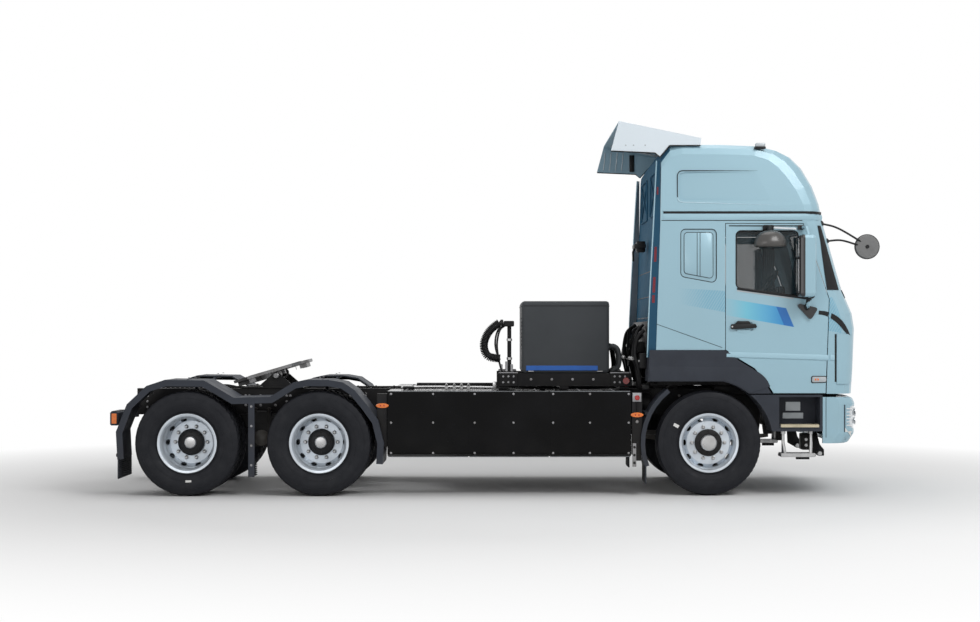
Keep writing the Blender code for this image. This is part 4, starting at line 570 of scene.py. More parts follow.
def cut_holes(bm_source, holes):
    """Cut solids out of a turned solid with an exact Boolean and return the mesh."""
    bmesh.ops.recalc_face_normals(bm_source, faces=bm_source.faces)
    bmesh.ops.recalc_face_normals(holes, faces=holes.faces)
    objects = []
    for each in (bm_source, holes):
        mesh = bpy.data.meshes.new("scratch")
        each.to_mesh(mesh)
        each.free()
        item = bpy.data.objects.new("scratch", mesh)
        bpy.context.scene.collection.objects.link(item)
        objects.append(item)
    modifier = objects[0].modifiers.new("cut", "BOOLEAN")
    modifier.operation = "DIFFERENCE"
    modifier.solver = "EXACT"
    modifier.object = objects[1]
    graph = bpy.context.evaluated_depsgraph_get()
    result = bpy.data.meshes.new_from_object(objects[0].evaluated_get(graph))
    for item in objects:
        bpy.data.objects.remove(item, do_unlink=True)
    return result


def disc_with_holes(radius_in, radius_out, y_in, y_out, thick, hole_radius, count=10):
    """A sloped rim disc with a ring of oval hand holes."""
    bm = bmesh.new()
    turn(bm, [(radius_in, y_in), (radius_out, y_out), (radius_out, y_out - thick), (radius_in, y_in - thick)],
         (0, 0, 0), (0, 1, 0), 80)
    holes = bmesh.new()
    for k in range(count):
        angle = math.tau * (k + 0.5) / count
        outline = [(0.031 * math.cos(math.tau * t / 16), 0.017 * math.sin(math.tau * t / 16))
                   for t in range(16)]
        spin = Matrix.Rotation(angle, 4, "Y") @ Matrix.Translation((0, 0, hole_radius))
        slab(holes, outline, "Y", y_out - 0.12, y_in + 0.12, 0.0, 0, spin)
    return cut_holes(bm, holes)


def wheel_face(bm, y, nuts_radius, hub_radius, hub_out, cap_radius, cap_out):
    """The bolted face of a wheel with ten nuts, the black hub and its cap.

    Materials: 0 silver, 1 black, 2 bright.
    """
    turn(bm, [(0.10, y), (0.222, y), (0.226, y - 0.004), (0.226, y - 0.013), (0.10, y - 0.013)], (0, 0, 0),
         (0, 1, 0), 60)
    for k in range(10):
        angle = math.tau * (k + 0.5) / 10
        spot = Vector((nuts_radius * math.sin(angle), y, nuts_radius * math.cos(angle)))
        turn(bm, [(0, 0.001), (0.021, 0.001), (0.021, 0.006), (0.0165, 0.009), (0.0165, 0.024),
                  (0.0125, 0.028), (0.0125, 0.036), (0.009, 0.039), (0, 0.039)], spot, (0, 1, 0), 12, 2)
    turn(bm, [(0, y), (hub_radius, y), (hub_radius, y + hub_out * 0.6),
              (hub_radius - 0.012, y + hub_out * 0.8), (cap_radius + 0.02, y + hub_out), (0, y + hub_out)],
         (0, 0, 0), (0, 1, 0), 40, 1)
    for k in range(8):
        angle = math.tau * k / 8
        reach = (hub_radius + cap_radius) / 2 + 0.008
        bolts(bm, [(reach * math.sin(angle), y + hub_out * 0.93, reach * math.cos(angle))], (0, 1, 0), 0.008,
              0.012, 1)
    turn(bm, [(0, y + hub_out), (cap_radius, y + hub_out), (cap_radius, y + cap_out - 0.014),
              (cap_radius - 0.008, y + cap_out - 0.004), (cap_radius * 0.6, y + cap_out), (0, y + cap_out)],
         (0, 0, 0), (0, 1, 0), 36, 2)


def barrel(bm, middle, side):
    """The rolled barrel of one rim with its lips."""
    s = side
    profile = [(0.273, -0.09), (0.262, -0.06), (0.262, 0.05), (0.273, 0.092), (0.284, 0.108), (0.300, 0.113),
               (0.305, 0.119), (0.301, 0.1195), (0.292, 0.1165), (0.281, 0.114), (0.267, 0.096),
               (0.254, 0.05), (0.254, -0.065), (0.266, -0.096), (0.281, -0.114), (0.292, -0.1165),
               (0.301, -0.1195), (0.305, -0.119), (0.300, -0.113), (0.284, -0.108)]
    turn(bm, [(r, middle + s * u) for r, u in profile], (0, 0, 0), (0, 1, 0), 80)


def finish_wheel(bm, discs, name):
    bmesh.ops.recalc_face_normals(bm, faces=bm.faces)
    for mesh in discs:
        bm.from_mesh(mesh)
        bpy.data.meshes.remove(mesh)
    mesh = bpy.data.meshes.new(name)
    bm.to_mesh(mesh)
    bm.free()
    for material in (rim_silver, black_plastic, bright_steel):
        mesh.materials.append(material)
    mesh.shade_smooth()
    mesh.set_sharp_from_angle(angle=math.radians(32))
    return mesh


def front_wheel_mesh():
    bm = bmesh.new()
    barrel(bm, 0.0, 1)
    wheel_face(bm, 0.045, 0.1675, 0.140, 0.024, 0.082, 0.078)
    turn(bm, [(0.055, 0.03), (0.205, 0.03), (0.205, -0.074), (0.055, -0.084)], (0, 0, 0), (0, 1, 0), 40, 1)
    return finish_wheel(bm, [disc_with_holes(0.221, 0.262, 0.0445, 0.010, 0.012, 0.243)], "rim_front")


def twin_wheel_mesh():
    bm = bmesh.new()
    offset = TWIN_SPACING / 2
    barrel(bm, offset, 1)
    barrel(bm, -offset, -1)
    wheel_face(bm, 0.014, 0.1675, 0.1375, 0.055, 0.062, 0.100)
    turn(bm, [(0.055, -0.014), (0.205, -0.014), (0.205, -0.222), (0.055, -0.236)], (0, 0, 0), (0, 1, 0), 40,
         1)
    outer = disc_with_holes(0.220, 0.258, 0.0135, 0.085, 0.012, 0.240)
    inner = disc_with_holes(0.206, 0.258, -0.0135, -0.085, -0.012, 0.240)
    return finish_wheel(bm, [outer, inner], "rims_twin")


drive_tyre = tyre_mesh("drive_tyre", True)
steer_tyre = tyre_mesh("steer_tyre", False)
front_rim = front_wheel_mesh()
twin_rims = twin_wheel_mesh()
for word, side in SIDES:
    hub = Vector((FRONT_X, side * FRONT_Y, AXLE_Z))
    set_down(steer_tyre, "tread_front_" + word, hub, side, "wheel_front_" + word, "tyre_front_" + word)
    set_down(front_rim, "wheel_disc_front_" + word, hub, side, "wheel_front_" + word, "rim_front_" + word)
    for where, x in (("mid", MID_X), ("rear", REAR_X)):
        hub = Vector((x, side * TWIN_Y, AXLE_Z))
        body = "wheel_" + where + "_" + word
        set_down(twin_rims, "wheel_disc_" + where + "_" + word, hub, side, body, "rims_" + where + "_" + word)
        for row, sign in (("outer", 1), ("inner", -1)):
            spot = hub + Vector((0, side * sign * TWIN_SPACING / 2, 0))
            set_down(drive_tyre, "tread_" + where + "_" + row + "_" + word, spot, side, body,
                     "tyre_" + where + "_" + row + "_" + word)

# Materials of the CAD pieces that stay

give(body_paint, "cab_roof", "front_bumper")
give(white_paint, "roof_deflector")
give(black_steel, "frame", "cab_bridge", "mid_axle", "rear_axle", "bogie_suspension", "fifth_wheel_base",
     "box_cradle")
give(cast_iron, "front_axle", "knuckle_left", "knuckle_right", "tie_rod")
give(motor_metal, "drive_motor")
give(gloss_black, "battery_left", "battery_right")
give(dark_plastic, "fender_left", "fender_right", "cab_floor", "front_steps", "front_guard_left",
     "front_guard_right", "tail_lamp_left", "tail_lamp_right")
give(machined, "fifth_wheel_plate")
give(box_paint, "electronics_box")
give(window_glass, "windscreen", "glass_left", "glass_right")
give(black_plastic, "dashboard", "front_mirror", "kerb_mirror")
give(cabin_trim, "seat_left", "seat_right", "bunk")

mirror_look = cab_paint("mirror_paint")
low_part = mirror_look.ramp(mirror_look.maths("ABSOLUTE", mirror_look.axes.outputs[1]), 1.286, 1.284)
rear_part = mirror_look.ramp(mirror_look.axes.outputs[0], 3.102, 3.098)
mirror_look.layer(mirror_look.maths("MAXIMUM", low_part, rear_part), (0.014, 0.014, 0.015))
give(mirror_look.done(), "mirror_left", "mirror_right")

# Paint of the cab side, with its stripes; on the shell, painted shade darkens the rear wall

def side_paint(name, on_door):
    look = cab_paint(name)
    x, y, z = look.axes.outputs
    side = look.ramp(look.maths("ABSOLUTE", y), 1.2, 1.204)

    def under_line(x0, z0, slope, soft=0.002):
        """1 below the line through x0, z0."""
        line = look.maths("MULTIPLY_ADD", look.maths("SUBTRACT", x, x0), slope, z0)
        return look.ramp(look.maths("SUBTRACT", z, line), soft, -soft)

    if on_door:
        band = look.maths("MULTIPLY", under_line(2.332, 2.027, -0.164), side)
        band = look.maths("SUBTRACT", band, look.maths("MULTIPLY", under_line(2.332, 1.854, -0.173), side))
        end = look.maths("MULTIPLY_ADD", look.maths("SUBTRACT", 1.925, z), 0.425, 2.954)
        past = look.maths("SUBTRACT", x, end)
        band = look.maths("MULTIPLY", band, look.ramp(past, 0.002, -0.002))
        band = look.maths("MAXIMUM", band, 0.0)
        look.layer(look.maths("MULTIPLY", band, look.ramp(x, 2.30, 2.55)), srgb(96, 190, 214), 0.75)
        look.layer(look.maths("MULTIPLY", band, look.ramp(x, 2.55, 2.92)), srgb(40, 138, 204), 0.9)
        wedge = look.maths("MULTIPLY", band, look.ramp(past, -0.098, -0.092))
        look.layer(wedge, srgb(24, 100, 176), 0.9)
    else:
        hatch = look.maths("MULTIPLY", under_line(1.883, 2.128, -0.06), side)
        hatch = look.maths("SUBTRACT", hatch, look.maths("MULTIPLY", under_line(1.883, 1.965, -0.18), side))
        slant = look.maths("MULTIPLY_ADD", z, 0.35, x)
        wave = look.maths("FRACT", look.maths("MULTIPLY", slant, 62.0))
        lines = look.maths("MULTIPLY", look.ramp(wave, 0.50, 0.42), look.ramp(wave, 0.02, 0.10))
        area = look.maths("MULTIPLY", look.maths("MAXIMUM", hatch, 0.0), look.ramp(x, 1.86, 2.15))
        look.layer(look.maths("MULTIPLY", lines, area), srgb(84, 158, 188), 0.95)
        # Painted shade: the rear wall's blue is darkened here. Below z 1.8 the rear is black.
        inside = look.ramp(look.maths("ABSOLUTE", y), 1.203, 1.200)
        rear = look.maths("MULTIPLY", look.ramp(x, 1.70, 1.68), inside)
        look.layer(rear, tuple(c * 0.5 for c in BLUE), 0.8)
        look.layer(look.maths("MULTIPLY", rear, look.ramp(z, 1.805, 1.795)), (0.012, 0.012, 0.013))
    return look.done()


door_paint = side_paint("body_paint_door", True)
give(side_paint("body_paint_shell", False), "cab_shell")
give(door_paint, "door_left", "door_right")


# Places on the cab's skin, from the same outline as the solids

NOSE = ((1.049, 3.735), (1.30, 3.752), (1.72, 3.768), (1.87, 3.745), (2.00, 3.69), (2.10, 3.642),
        (2.822, 3.438))
BUMPER_NOSE = ((0.542, 3.70), (0.64, 3.765), (0.95, 3.772), (1.015, 3.745))
CORNER = 0.16
ROOF_FOOT_Z = 2.822
ROOF_LEAN = 0.045


def lean_at(z):
    """How much of its full width the cab has at z, above the roof's foot."""
    return 1 - ROOF_LEAN * max(0.0, z - ROOF_FOOT_Z)


def front_sweep(y):
    """How far the front stands back at y from its middle."""
    corner = max(0.0, abs(y) - (CAB_Y - CORNER))
    return 0.07 * (y / 0.95) ** 2 + CORNER - math.sqrt(max(0.0, CORNER ** 2 - corner ** 2))


def nose_x(z, line=NOSE):
    for (low, one), (high, two) in zip(line, line[1:]):
        if z <= high:
            return one + (two - one) * (z - low) / (high - low)
    return line[-1][1]


def side_point(x, z, lift, side, line=NOSE):
    """The place on the cab's side or corner that is seen at x, z from the side."""
    limit = nose_x(z, line) - front_sweep(CAB_Y)
    if x <= limit:
        return Vector((x, side * (CAB_Y * lean_at(z) + lift), z))
    low, high = 0.0, CAB_Y
    for _ in range(24):
        middle = (low + high) / 2
        if front_sweep(middle) < nose_x(z, line) - x:
            low = middle
        else:
            high = middle
    corner = min(1.0, max(0.0, (low - CAB_Y + CORNER) / CORNER))
    along = math.sqrt(1 - corner ** 2)
    return Vector((x + lift * along, side * (low + lift * corner), z))


def front_point(y, z, lift, line=NOSE):
    return Vector((nose_x(z, line) - front_sweep(y) + lift, y, z))


def on_skin(side, line=NOSE):
    """One side's skin, as a function that gives the place seen at x, z with its lift."""
    return lambda x, z, lift: side_point(x, z, lift, side, line)


def at_y(y):
    """A flat plane across, as such a function."""
    return lambda x, z, lift: Vector((x, y, z))


def ribbon(bm, rows, lifts, depth, place, material=0):
    """A closed strip on the skin through rows of places, each row with its own lift."""
    part = bmesh.new()
    outer = [[part.verts.new(place(a, b, lift)) for a, b in row] for row, lift in zip(rows, lifts)]
    inner = [[part.verts.new(place(a, b, -depth)) for a, b in row] for row in rows]
    for sheet, flip in ((outer, False), (inner, True)):
        for one, two in zip(sheet, sheet[1:]):
            for k in range(len(one) - 1):
                corners = [one[k], one[k + 1], two[k + 1], two[k]]
                part.faces.new(corners[::-1] if flip else corners)
    for one, two in ((outer[0], inner[0]), (outer[-1], inner[-1])):
        for k in range(len(one) - 1):
            part.faces.new((one[k], one[k + 1], two[k + 1], two[k]))
    for end in (0, -1):
        for k in range(len(rows) - 1):
            part.faces.new((outer[k][end], outer[k + 1][end], inner[k + 1][end], inner[k][end]))
    bmesh.ops.recalc_face_normals(part, faces=part.faces)
    place_in(bm, part, None, material)


def fine(line, each=5):
    """A smooth line through flat points."""
    return [(p.x, p.z) for p in curve_through([(a, 0, b) for a, b in line], each)]


def straight(start, end, count=8):
    return [(start[0] + (end[0] - start[0]) * k / count, start[1] + (end[1] - start[1]) * k / count)
            for k in range(count + 1)]


def loop_tube(bm, outline, radius, place, material=0, sides=8):
    """A closed round seal along an outline on the skin."""
    points = [place(a, b, 0.0) for a, b in outline]
    part = bmesh.new()
    count = len(points)
    rings = []
    for i, point in enumerate(points):
        tangent = (points[(i + 1) % count] - points[i - 1]).normalized()
        normal = Vector((0, 1, 0)) if abs(tangent.y) < 0.8 else Vector((1, 0, 0))
        normal = (normal - tangent * normal.dot(tangent)).normalized()
        across = tangent.cross(normal)
        rings.append(ring_round(part, point, normal, across, radius, sides))
    skin_rings(part, rings, closed=True)
    bmesh.ops.recalc_face_normals(part, faces=part.faces)
    place_in(bm, part, None, material)


WINDOW = round_corners([(2.444, 2.135), (3.255, 2.022), (3.235, 2.12), (3.065, 2.716), (2.444, 2.716)], 0.05,
                       6)

for word, side in SIDES:
    on_side = on_skin(side)
    cab, door = "cab", "door_" + word
    # Black swoosh under the windscreen corner, in two lengths that meet at the door's front seam
    upper = fine([(3.290, 1.900), (3.36, 1.892), (3.45, 1.858), (3.53, 1.795), (3.585, 1.715),
                  (3.622, 1.640)], 6)
    lower = fine([(3.286, 1.862), (3.355, 1.848), (3.435, 1.805), (3.505, 1.745), (3.560, 1.685),
                  (3.608, 1.625)], 6)
    bm = bmesh.new()
    on_door_rows = [[p for p in upper if p[0] < 3.393], [p for p in lower if p[0] < 3.393]]
    count = min(len(row) for row in on_door_rows)
    ribbon(bm, [row[:count] for row in on_door_rows], (0.003, 0.003), 0.004, on_side)
    shape("door_swoosh_" + word, bm, black_plastic, door)
    bm = bmesh.new()
    rows = [[p for p in upper if p[0] > 3.405], [p for p in lower if p[0] > 3.405]]
    count = min(len(row) for row in rows)
    ribbon(bm, [row[-count:] for row in rows], (0.003, 0.003), 0.006, on_side)
    ribbon(bm, [straight((3.452, 1.66), (3.452, 1.17)), straight((3.470, 1.66), (3.470, 1.17))],
           (0.002, 0.002), 0.006, on_side)
    levels = [2.112 + 0.066 * k for k in range(11)]
    rear_edge = [(nose_x(z) - 0.265 + 0.098 * (z - 2.112) / 0.66, z) for z in levels]
    front_edge = [(nose_x(z) - 0.134, z) for z in levels]
    middle = [((a[0] + b[0]) / 2, a[1]) for a, b in zip(rear_edge, front_edge)]
    ribbon(bm, [rear_edge, middle, front_edge], (0.003, 0.007, 0.003), 0.006, on_side)
    shape("corner_trim_" + word, bm, black_plastic, cab)
    # Air deflector on the front corner
    bm = bmesh.new()
    columns = []
    for x in (3.472, 3.50, 3.54, 3.585, 3.62, 3.645):
        drop = 0.02 if x > 3.6 else 0.0
        columns.append([(x, 1.66 - 0.51 * k / 10 - drop * (1 - k / 5)) for k in range(11)])
    ribbon(bm, columns, (0.009, 0.013, 0.014, 0.013, 0.010, 0.004), 0.006, on_side)
    shape("corner_deflector_" + word, bm, body_paint, cab)
    # Shoulder crease along the door and the corner
    for name, x0, x1, body in (("door_crease_", 2.345, 3.388, door), ("corner_crease_", 3.407, 3.450, cab)):
        bm = bmesh.new()
        drop = -0.031
        rows = []
        for level in (1.479, 1.452, 1.430, 1.418):
            rows.append(straight((x0, level + drop * (x0 - 2.33)), (x1, level + drop * (x1 - 2.33)), 10))
        ribbon(bm, rows, (0.0012, 0.008, 0.010, 0.0012), 0.003, on_side)
        shape(name + word, bm, door_paint if body == door else body_paint, body, 25)
    # Side indicator on the door
    bm = bmesh.new()
    frame_outline = round_corners([(3.209, 1.157), (3.372, 1.163), (3.370, 1.230), (3.212, 1.232)], 0.018, 5)
    slab(bm, frame_outline, "Y", *span(side, 1.208, 1.216), 0.002)
    lens_outline = round_corners([(3.218, 1.166), (3.364, 1.171), (3.362, 1.222), (3.221, 1.224)], 0.013, 5)
    slab(bm, lens_outline, "Y", *span(side, 1.212, 1.222), 0.003, 1)
    for x in (3.245, 3.270):
        box(bm, (x, x + 0.018), span(side, 1.217, 1.2232), (1.184, 1.206), 0.002, 1, 2)
    shape("side_indicator_" + word, bm, [black_plastic, pale_metal, orange_lens], door)
    # Door handle with its dish
    bm = bmesh.new()
    bar = round_corners([(2.383, 1.708), (2.660, 1.722), (2.640, 1.764), (2.388, 1.762)], 0.016, 5)
    slab(bm, bar, "Y", *span(side, 1.212, 1.236), 0.006)
    hump = round_corners([(2.425, 1.752), (2.600, 1.752), (2.575, 1.792), (2.455, 1.794)], 0.018, 5)
    slab(bm, hump, "Y", *span(side, 1.206, 1.229), 0.006)
    turn(bm, [(0, 0), (0.009, 0), (0.009, 0.004), (0, 0.004)], (2.400, side * 1.236, 1.735), (0, side, 0), 16,
         1)
    shape("door_handle_" + word, bm, [black_plastic, bright_steel], door)
    bm = bmesh.new()
    dish = []
    for k in range(13):
        angle = math.pi * k / 12
        dish.append((2.522 + 0.072 * math.cos(angle), 1.706 - 0.042 * math.sin(angle)))
    slab(bm, dish, "Y", *span(side, 1.207, 1.2125), 0.004)
    shape("handle_dish_" + word, bm, door_paint, door)
    # Window rubber, belt seal and rain strip
    bm = bmesh.new()
    loop_tube(bm, WINDOW, 0.0075, at_y(side * 1.209))
    belt = [straight((2.452, 2.133), (3.215, 2.027)), straight((2.452, 2.112), (3.215, 2.006))]
    ribbon(bm, belt, (0.007, 0.004), 0.003, on_side)
    ribbon(bm, [straight((2.37, 2.772), (3.125, 2.772)), straight((2.37, 2.762), (3.128, 2.762))],
           (0.004, 0.004), 0.003, on_side)
    shape("window_seal_" + word, bm, black_plastic, door)
    # Pale strips under the window and along its top front: painted highlight lines, made as a pale metal
    # strip.
    bm = bmesh.new()
    ribbon(bm, [straight((2.452, 2.110), (3.03, 2.029)), straight((2.452, 2.098), (3.03, 2.017))],
           (0.0045, 0.003), 0.003, on_side)
    ribbon(bm, [straight((2.821, 2.760), (3.056, 2.747)), straight((2.825, 2.738), (3.060, 2.728))],
           (0.006, 0.010), 0.003, on_side)
    shape("painted_highlight_strip_" + word, bm, pale_metal, door)
    # Blank sleeper window: seal, pressed panel and ribs
    sleeper = round_corners([(1.876, 2.248), (2.243, 2.18), (2.243, 2.734), (1.876, 2.734)], 0.05, 5)
    bm = bmesh.new()
    loop_tube(bm, sleeper, 0.0045, at_y(side * 1.207))
    ribbon(bm, [straight((1.628, 1.765), (2.300, 1.524), 16), straight((1.628, 1.760), (2.300, 1.519), 16)],
           (0.002, 0.002), 0.003, on_side)
    shape("sleeper_seal_" + word, bm, black_plastic, cab)
    bm = bmesh.new()
    panel = round_corners([(1.912, 2.282), (2.208, 2.226), (2.208, 2.700), (1.912, 2.700)], 0.035, 5)
    slab(bm, panel, "Y", *span(side, 1.198, 1.205), 0.003)
    shape("sleeper_blank_" + word, bm, body_paint, cab)
    bm = bmesh.new()
    loop_tube(bm, panel, 0.003, at_y(side * 1.2045))
    for x in (2.045, 2.075):
        low = 2.282 - 0.056 * (x - 1.912) / 0.296
        box(bm, (x - 0.003, x + 0.003), span(side, 1.204, 1.2065), (low, 2.700), 0.001, 1)
    shape("sleeper_ribs_" + word, bm, black_plastic, cab)
    # Marker lamp on the roof edge
    bm = bmesh.new()
    spot = side_point(2.694, 3.585, 0.0, side)
    box(bm, (2.638, 2.755), sorted((spot.y - side * 0.05, spot.y + side * 0.006)), (3.560, 3.585), 0.008)
    box(bm, (2.648, 2.750), sorted((spot.y - side * 0.045, spot.y + side * 0.008)), (3.580, 3.622), 0.014, 3,
        1)
    shape("roof_marker_" + word, bm, [black_plastic, pale_metal], cab)
    # Wheel arch trim: raised lower band with its crease
    bm = bmesh.new()
    arc = []
    for k in range(13):
        angle = math.radians(77.5 - 26.0 * k / 12)
        arc.append((FRONT_X + 0.66 * math.cos(angle), AXLE_Z + 0.66 * math.sin(angle)))
    low = straight((1.552, 1.182), (arc[0][0] - 0.02, 1.182), 6) + arc
    high = straight((1.562, 1.330), (2.44, 1.325),
                    6) + [(2.48 + 0.32 * math.sin(math.radians(a)), 1.06 + 0.262 * math.cos(math.radians(a)))
                          for a in range(4, 82, 6)]
    ribbon(bm, [low, [(a[0] * 0.5 + b[0] * 0.5, a[1] * 0.5 + b[1] * 0.5) for a, b in zip(low, high)], high],
           (0.010, 0.015, 0.0075), -0.0062, lambda a, b, lift,
           side=side: Vector((a, side * (CAB_Y + lift), b)))
    shape("arch_band_" + word, bm, dark_plastic, cab, 25)
    # Bumper side seam
    bm = bmesh.new()
    ribbon(bm, [straight((3.360, 1.012), (3.360, 0.60), 6), straight((3.366, 1.012), (3.366, 0.60), 6)],
           (0.0012, 0.0012), 0.004, on_skin(side, BUMPER_NOSE))
    shape("bumper_seam_" + word, bm, dark_plastic, "chassis")

# Roof: seam band, groove, joint line and the recess's painted shadow lines
bm = bmesh.new()
for side in (1, -1):
    ribbon(bm, [straight((1.70, 2.884), (3.40, 2.884), 30), straight((1.70, 2.855), (3.40, 2.855), 30),
                straight((1.70, 2.828), (3.40, 2.828), 30)], (0.002, 0.006, 0.002), 0.004, on_skin(side))
shape("roof_band", bm, body_paint, "cab", 25)
bm = bmesh.new()
for side in (1, -1):
    on_roof = on_skin(side)
    ribbon(bm, [straight((1.70, 2.916), (3.40, 2.916), 30), straight((1.70, 2.891), (3.40, 2.891), 30)],
           (-0.0045, -0.0045), 0.0075, on_roof)
    ribbon(bm, [straight((1.68, 2.8255), (3.12, 2.8255), 20), straight((1.68, 2.8185), (3.12, 2.8185), 20)],
           (0.0012, 0.0012), 0.003, on_roof)
    # Dark rods along the roof recess's top and rear edges: painted shadow lines, thinning towards the front.
    for k in range(9):
        radius = RECESS_SHADOW_RADIUS * (1 - k / 10.0)
        x0, x1 = 1.90 + 0.085 * k, 1.90 + 0.085 * (k + 1)
        rod(bm, [on_roof(x0, 3.335, 0.0), on_roof(x1, 3.335, 0.0)], radius, 6)
    corner = [(1.90, 3.335), (1.868, 3.327), (1.851, 3.305), (1.845, 3.28), (1.845, 3.20), (1.845, 3.12),
              (1.845, 3.06)]
    for a, b in zip(corner, corner[1:]):
        rod(bm, [on_roof(*a, 0.0), on_roof(*b, 0.0)], RECESS_SHADOW_RADIUS, 6)
shape("roof_seams_and_shadow_lines", bm, black_plastic, "cab")

# Windscreen frame, cowl, wipers and front grille
bm = bmesh.new()
across = [-1.06 + 2.12 * k / 24 for k in range(25)]
for z0, z1, lift in ((2.035, 2.112, 0.006), (2.775, 2.815, 0.004)):
    ribbon(bm, [[(y, z0) for y in across], [(y, z1) for y in across]], (lift, lift), 0.004, front_point)
for side in (1, -1):
    ribbon(bm, [[(side * (1.03 - 0.06 * k / 8), 2.11 + 0.68 * k / 8) for k in range(9)],
                [(side * (0.995 - 0.06 * k / 8), 2.11 + 0.68 * k / 8) for k in range(9)]], (0.002, 0.002),
           0.004, front_point)
for y0, y1 in ((-0.78, -0.12), (0.10, 0.80)):
    pivot = front_point(y1 - 0.05, 2.075, 0.02)
    elbow = front_point(y0 + (y1 - y0) * 0.45, 2.20, 0.030)
    turn(bm, [(0, -0.012), (0.022, -0.012), (0.022, 0.012), (0.016, 0.02), (0, 0.02)], pivot, (1, 0, 0.25),
         16)
    rod(bm, [pivot, pivot.lerp(elbow, 0.5) + Vector((0.012, 0, 0)), elbow], 0.008, 8)
    blade = [front_point(y0 + (y1 - y0) * k / 12, 2.165 + 0.055 * k / 12, 0.010) for k in range(13)]
    rod(bm, blade, 0.006, 8)
    rod(bm, [p + Vector((0.010, 0, 0.002)) for p in blade[2:11]], 0.005, 6)
shape("windscreen_trim", bm, black_plastic, "cab")
bm = bmesh.new()
for k in range(5):
    z = 1.30 + 0.075 * k
    ribbon(bm, [[(-0.71 + 1.42 * i / 16, z + 0.002) for i in range(17)],
                [(-0.71 + 1.42 * i / 16, z + 0.033) for i in range(17)]], (-0.012, -0.006), 0.035,
           front_point)
shape("cab_grille", bm, black_plastic, "cab")
bm = bmesh.new()
for i in range(29):
    y = -0.70 + 1.40 * i / 28
    box(bm, (nose_x(0.76, BUMPER_NOSE) - front_sweep(y) - 0.045,
             nose_x(0.76, BUMPER_NOSE) - front_sweep(y) - 0.005), (y - 0.004, y + 0.004), (0.665, 0.855),
        0.0015, 1)
for z in (0.70, 0.76, 0.82):
    ribbon(bm, [[(-0.70 + 1.4 * i / 16, z - 0.006) for i in range(17)],
                [(-0.70 + 1.4 * i / 16, z + 0.006) for i in range(17)]], (-0.004, -0.004), 0.04, lambda a, b,
           lift: front_point(a, b, lift, BUMPER_NOSE))
shape("bumper_grille", bm, black_plastic, "chassis")

# Pale blue rods along the roof recess's lower edge: a painted highlight, thinning towards the front.
recess_painted_highlight = cab_paint("recess_painted_highlight", srgb(196, 222, 232)).done()
bm = bmesh.new()
for side in (1, -1):
    low = [(1.845, 3.06), (1.851, 3.035), (1.868, 3.018), (1.90, 3.010)]
    for a, b in zip(low, low[1:]):
        rod(bm, [side_point(*a, 0.0, side), side_point(*b, 0.0, side)], 0.004, 6)
    for k in range(9):
        x0, x1 = 1.90 + 0.10 * k, 1.90 + 0.10 * (k + 1)
        rod(bm, [side_point(x0, 3.010 - 0.003 * k, 0.0, side), side_point(x1, 3.010 - 0.003 * (k + 1), 0.0,
                                                                          side)], 0.0042 * (1 - k / 10.0), 6)
shape("recess_highlight_edges", bm, recess_painted_highlight, "cab")

# Rear of the cab: painted shade on the wall, corner flanges, reflectors, pressed panels, latch, liner with
# its lines


def rear_x(z):
    """Where the rear wall's outer face stands at z."""
    return 1.61 + 0.0333 * (min(z, ROOF_FOOT_Z) - 1.05)


def loft(bm, sections, material=0):
    """A solid through closed sections that have as many points each."""
    part = bmesh.new()
    skin_rings(part, [[part.verts.new(p) for p in section] for section in sections])
    bmesh.ops.recalc_face_normals(part, faces=part.faces)
    place_in(bm, part, None, material)


# Darker matte blue for the cab's rear wall: painted shade, darker than the body blue.
rear_wall_painted_shade = (Look("rear_wall_painted_shade", srgb(58, 104, 132), 0.75).mottle(3.0, srgb(50, 92, 118), 0.5)
                  .dust(2.0, 0.3, (0.06, 0.07, 0.08)).grain(320.0, 0.0003, 0.4).rough(9.0, 0.06)
                  .set(Specular_IOR_Level=0.12).done())
# Darker blue for the rear corner flanges: painted shade.
flange_painted_shade = (Look("flange_painted_shade", srgb(46, 86, 112), 0.7).mottle(3.0, srgb(40, 78, 102), 0.5)
               .grain(320.0, 0.0003, 0.4).rough(9.0, 0.06).set(Specular_IOR_Level=0.15).done())
dark_red = (Look("dark_red_lens", srgb(120, 22, 40), 0.35).mottle(30.0, srgb(96, 16, 30), 0.5)
            .grain(900.0, 0.0002, 0.4).rough(20.0, 0.05).done())


def recoated(node, body, picks):
    """Stand a copy of a node's mesh in for it, with other materials on the faces that each test picks."""
    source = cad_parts[node]
    copy = bpy.data.objects.new(node + "_coat", source.data.copy())
    bpy.context.scene.collection.objects.link(copy)
    for test, material in picks:
        copy.data.materials.append(material)
        for face in copy.data.polygons:
            if test(face.center, face.normal):
                face.material_index = len(copy.data.materials) - 1
    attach(copy, body)
    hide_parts(node)
    return copy


def back_face(centre, normal):
    return normal.x < -0.5 and centre.x < 1.90 and abs(centre.y) < 1.19


# The rear faces of the shell and roof take the darker blue: painted shade.
recoated("cab_shell", "cab", [(back_face, rear_wall_painted_shade)])
recoated("cab_roof", "cab", [(back_face, rear_wall_painted_shade)])
# Grey-blue on the white deflector's underside and inner faces: painted shade.
deflector_painted_shade = (Look("deflector_painted_shade", srgb(158, 186, 200), 0.7).mottle(3.0, srgb(144, 172, 186), 0.5)
              .grain(320.0, 0.0003, 0.4).rough(9.0, 0.06).set(Specular_IOR_Level=0.15).done())


def under_face(centre, normal):
    return abs(centre.y) < 1.131 and (normal.z < -0.2 or normal.y * centre.y < -0.01
                                      or (normal.x < -0.4 and centre.x > 1.24))


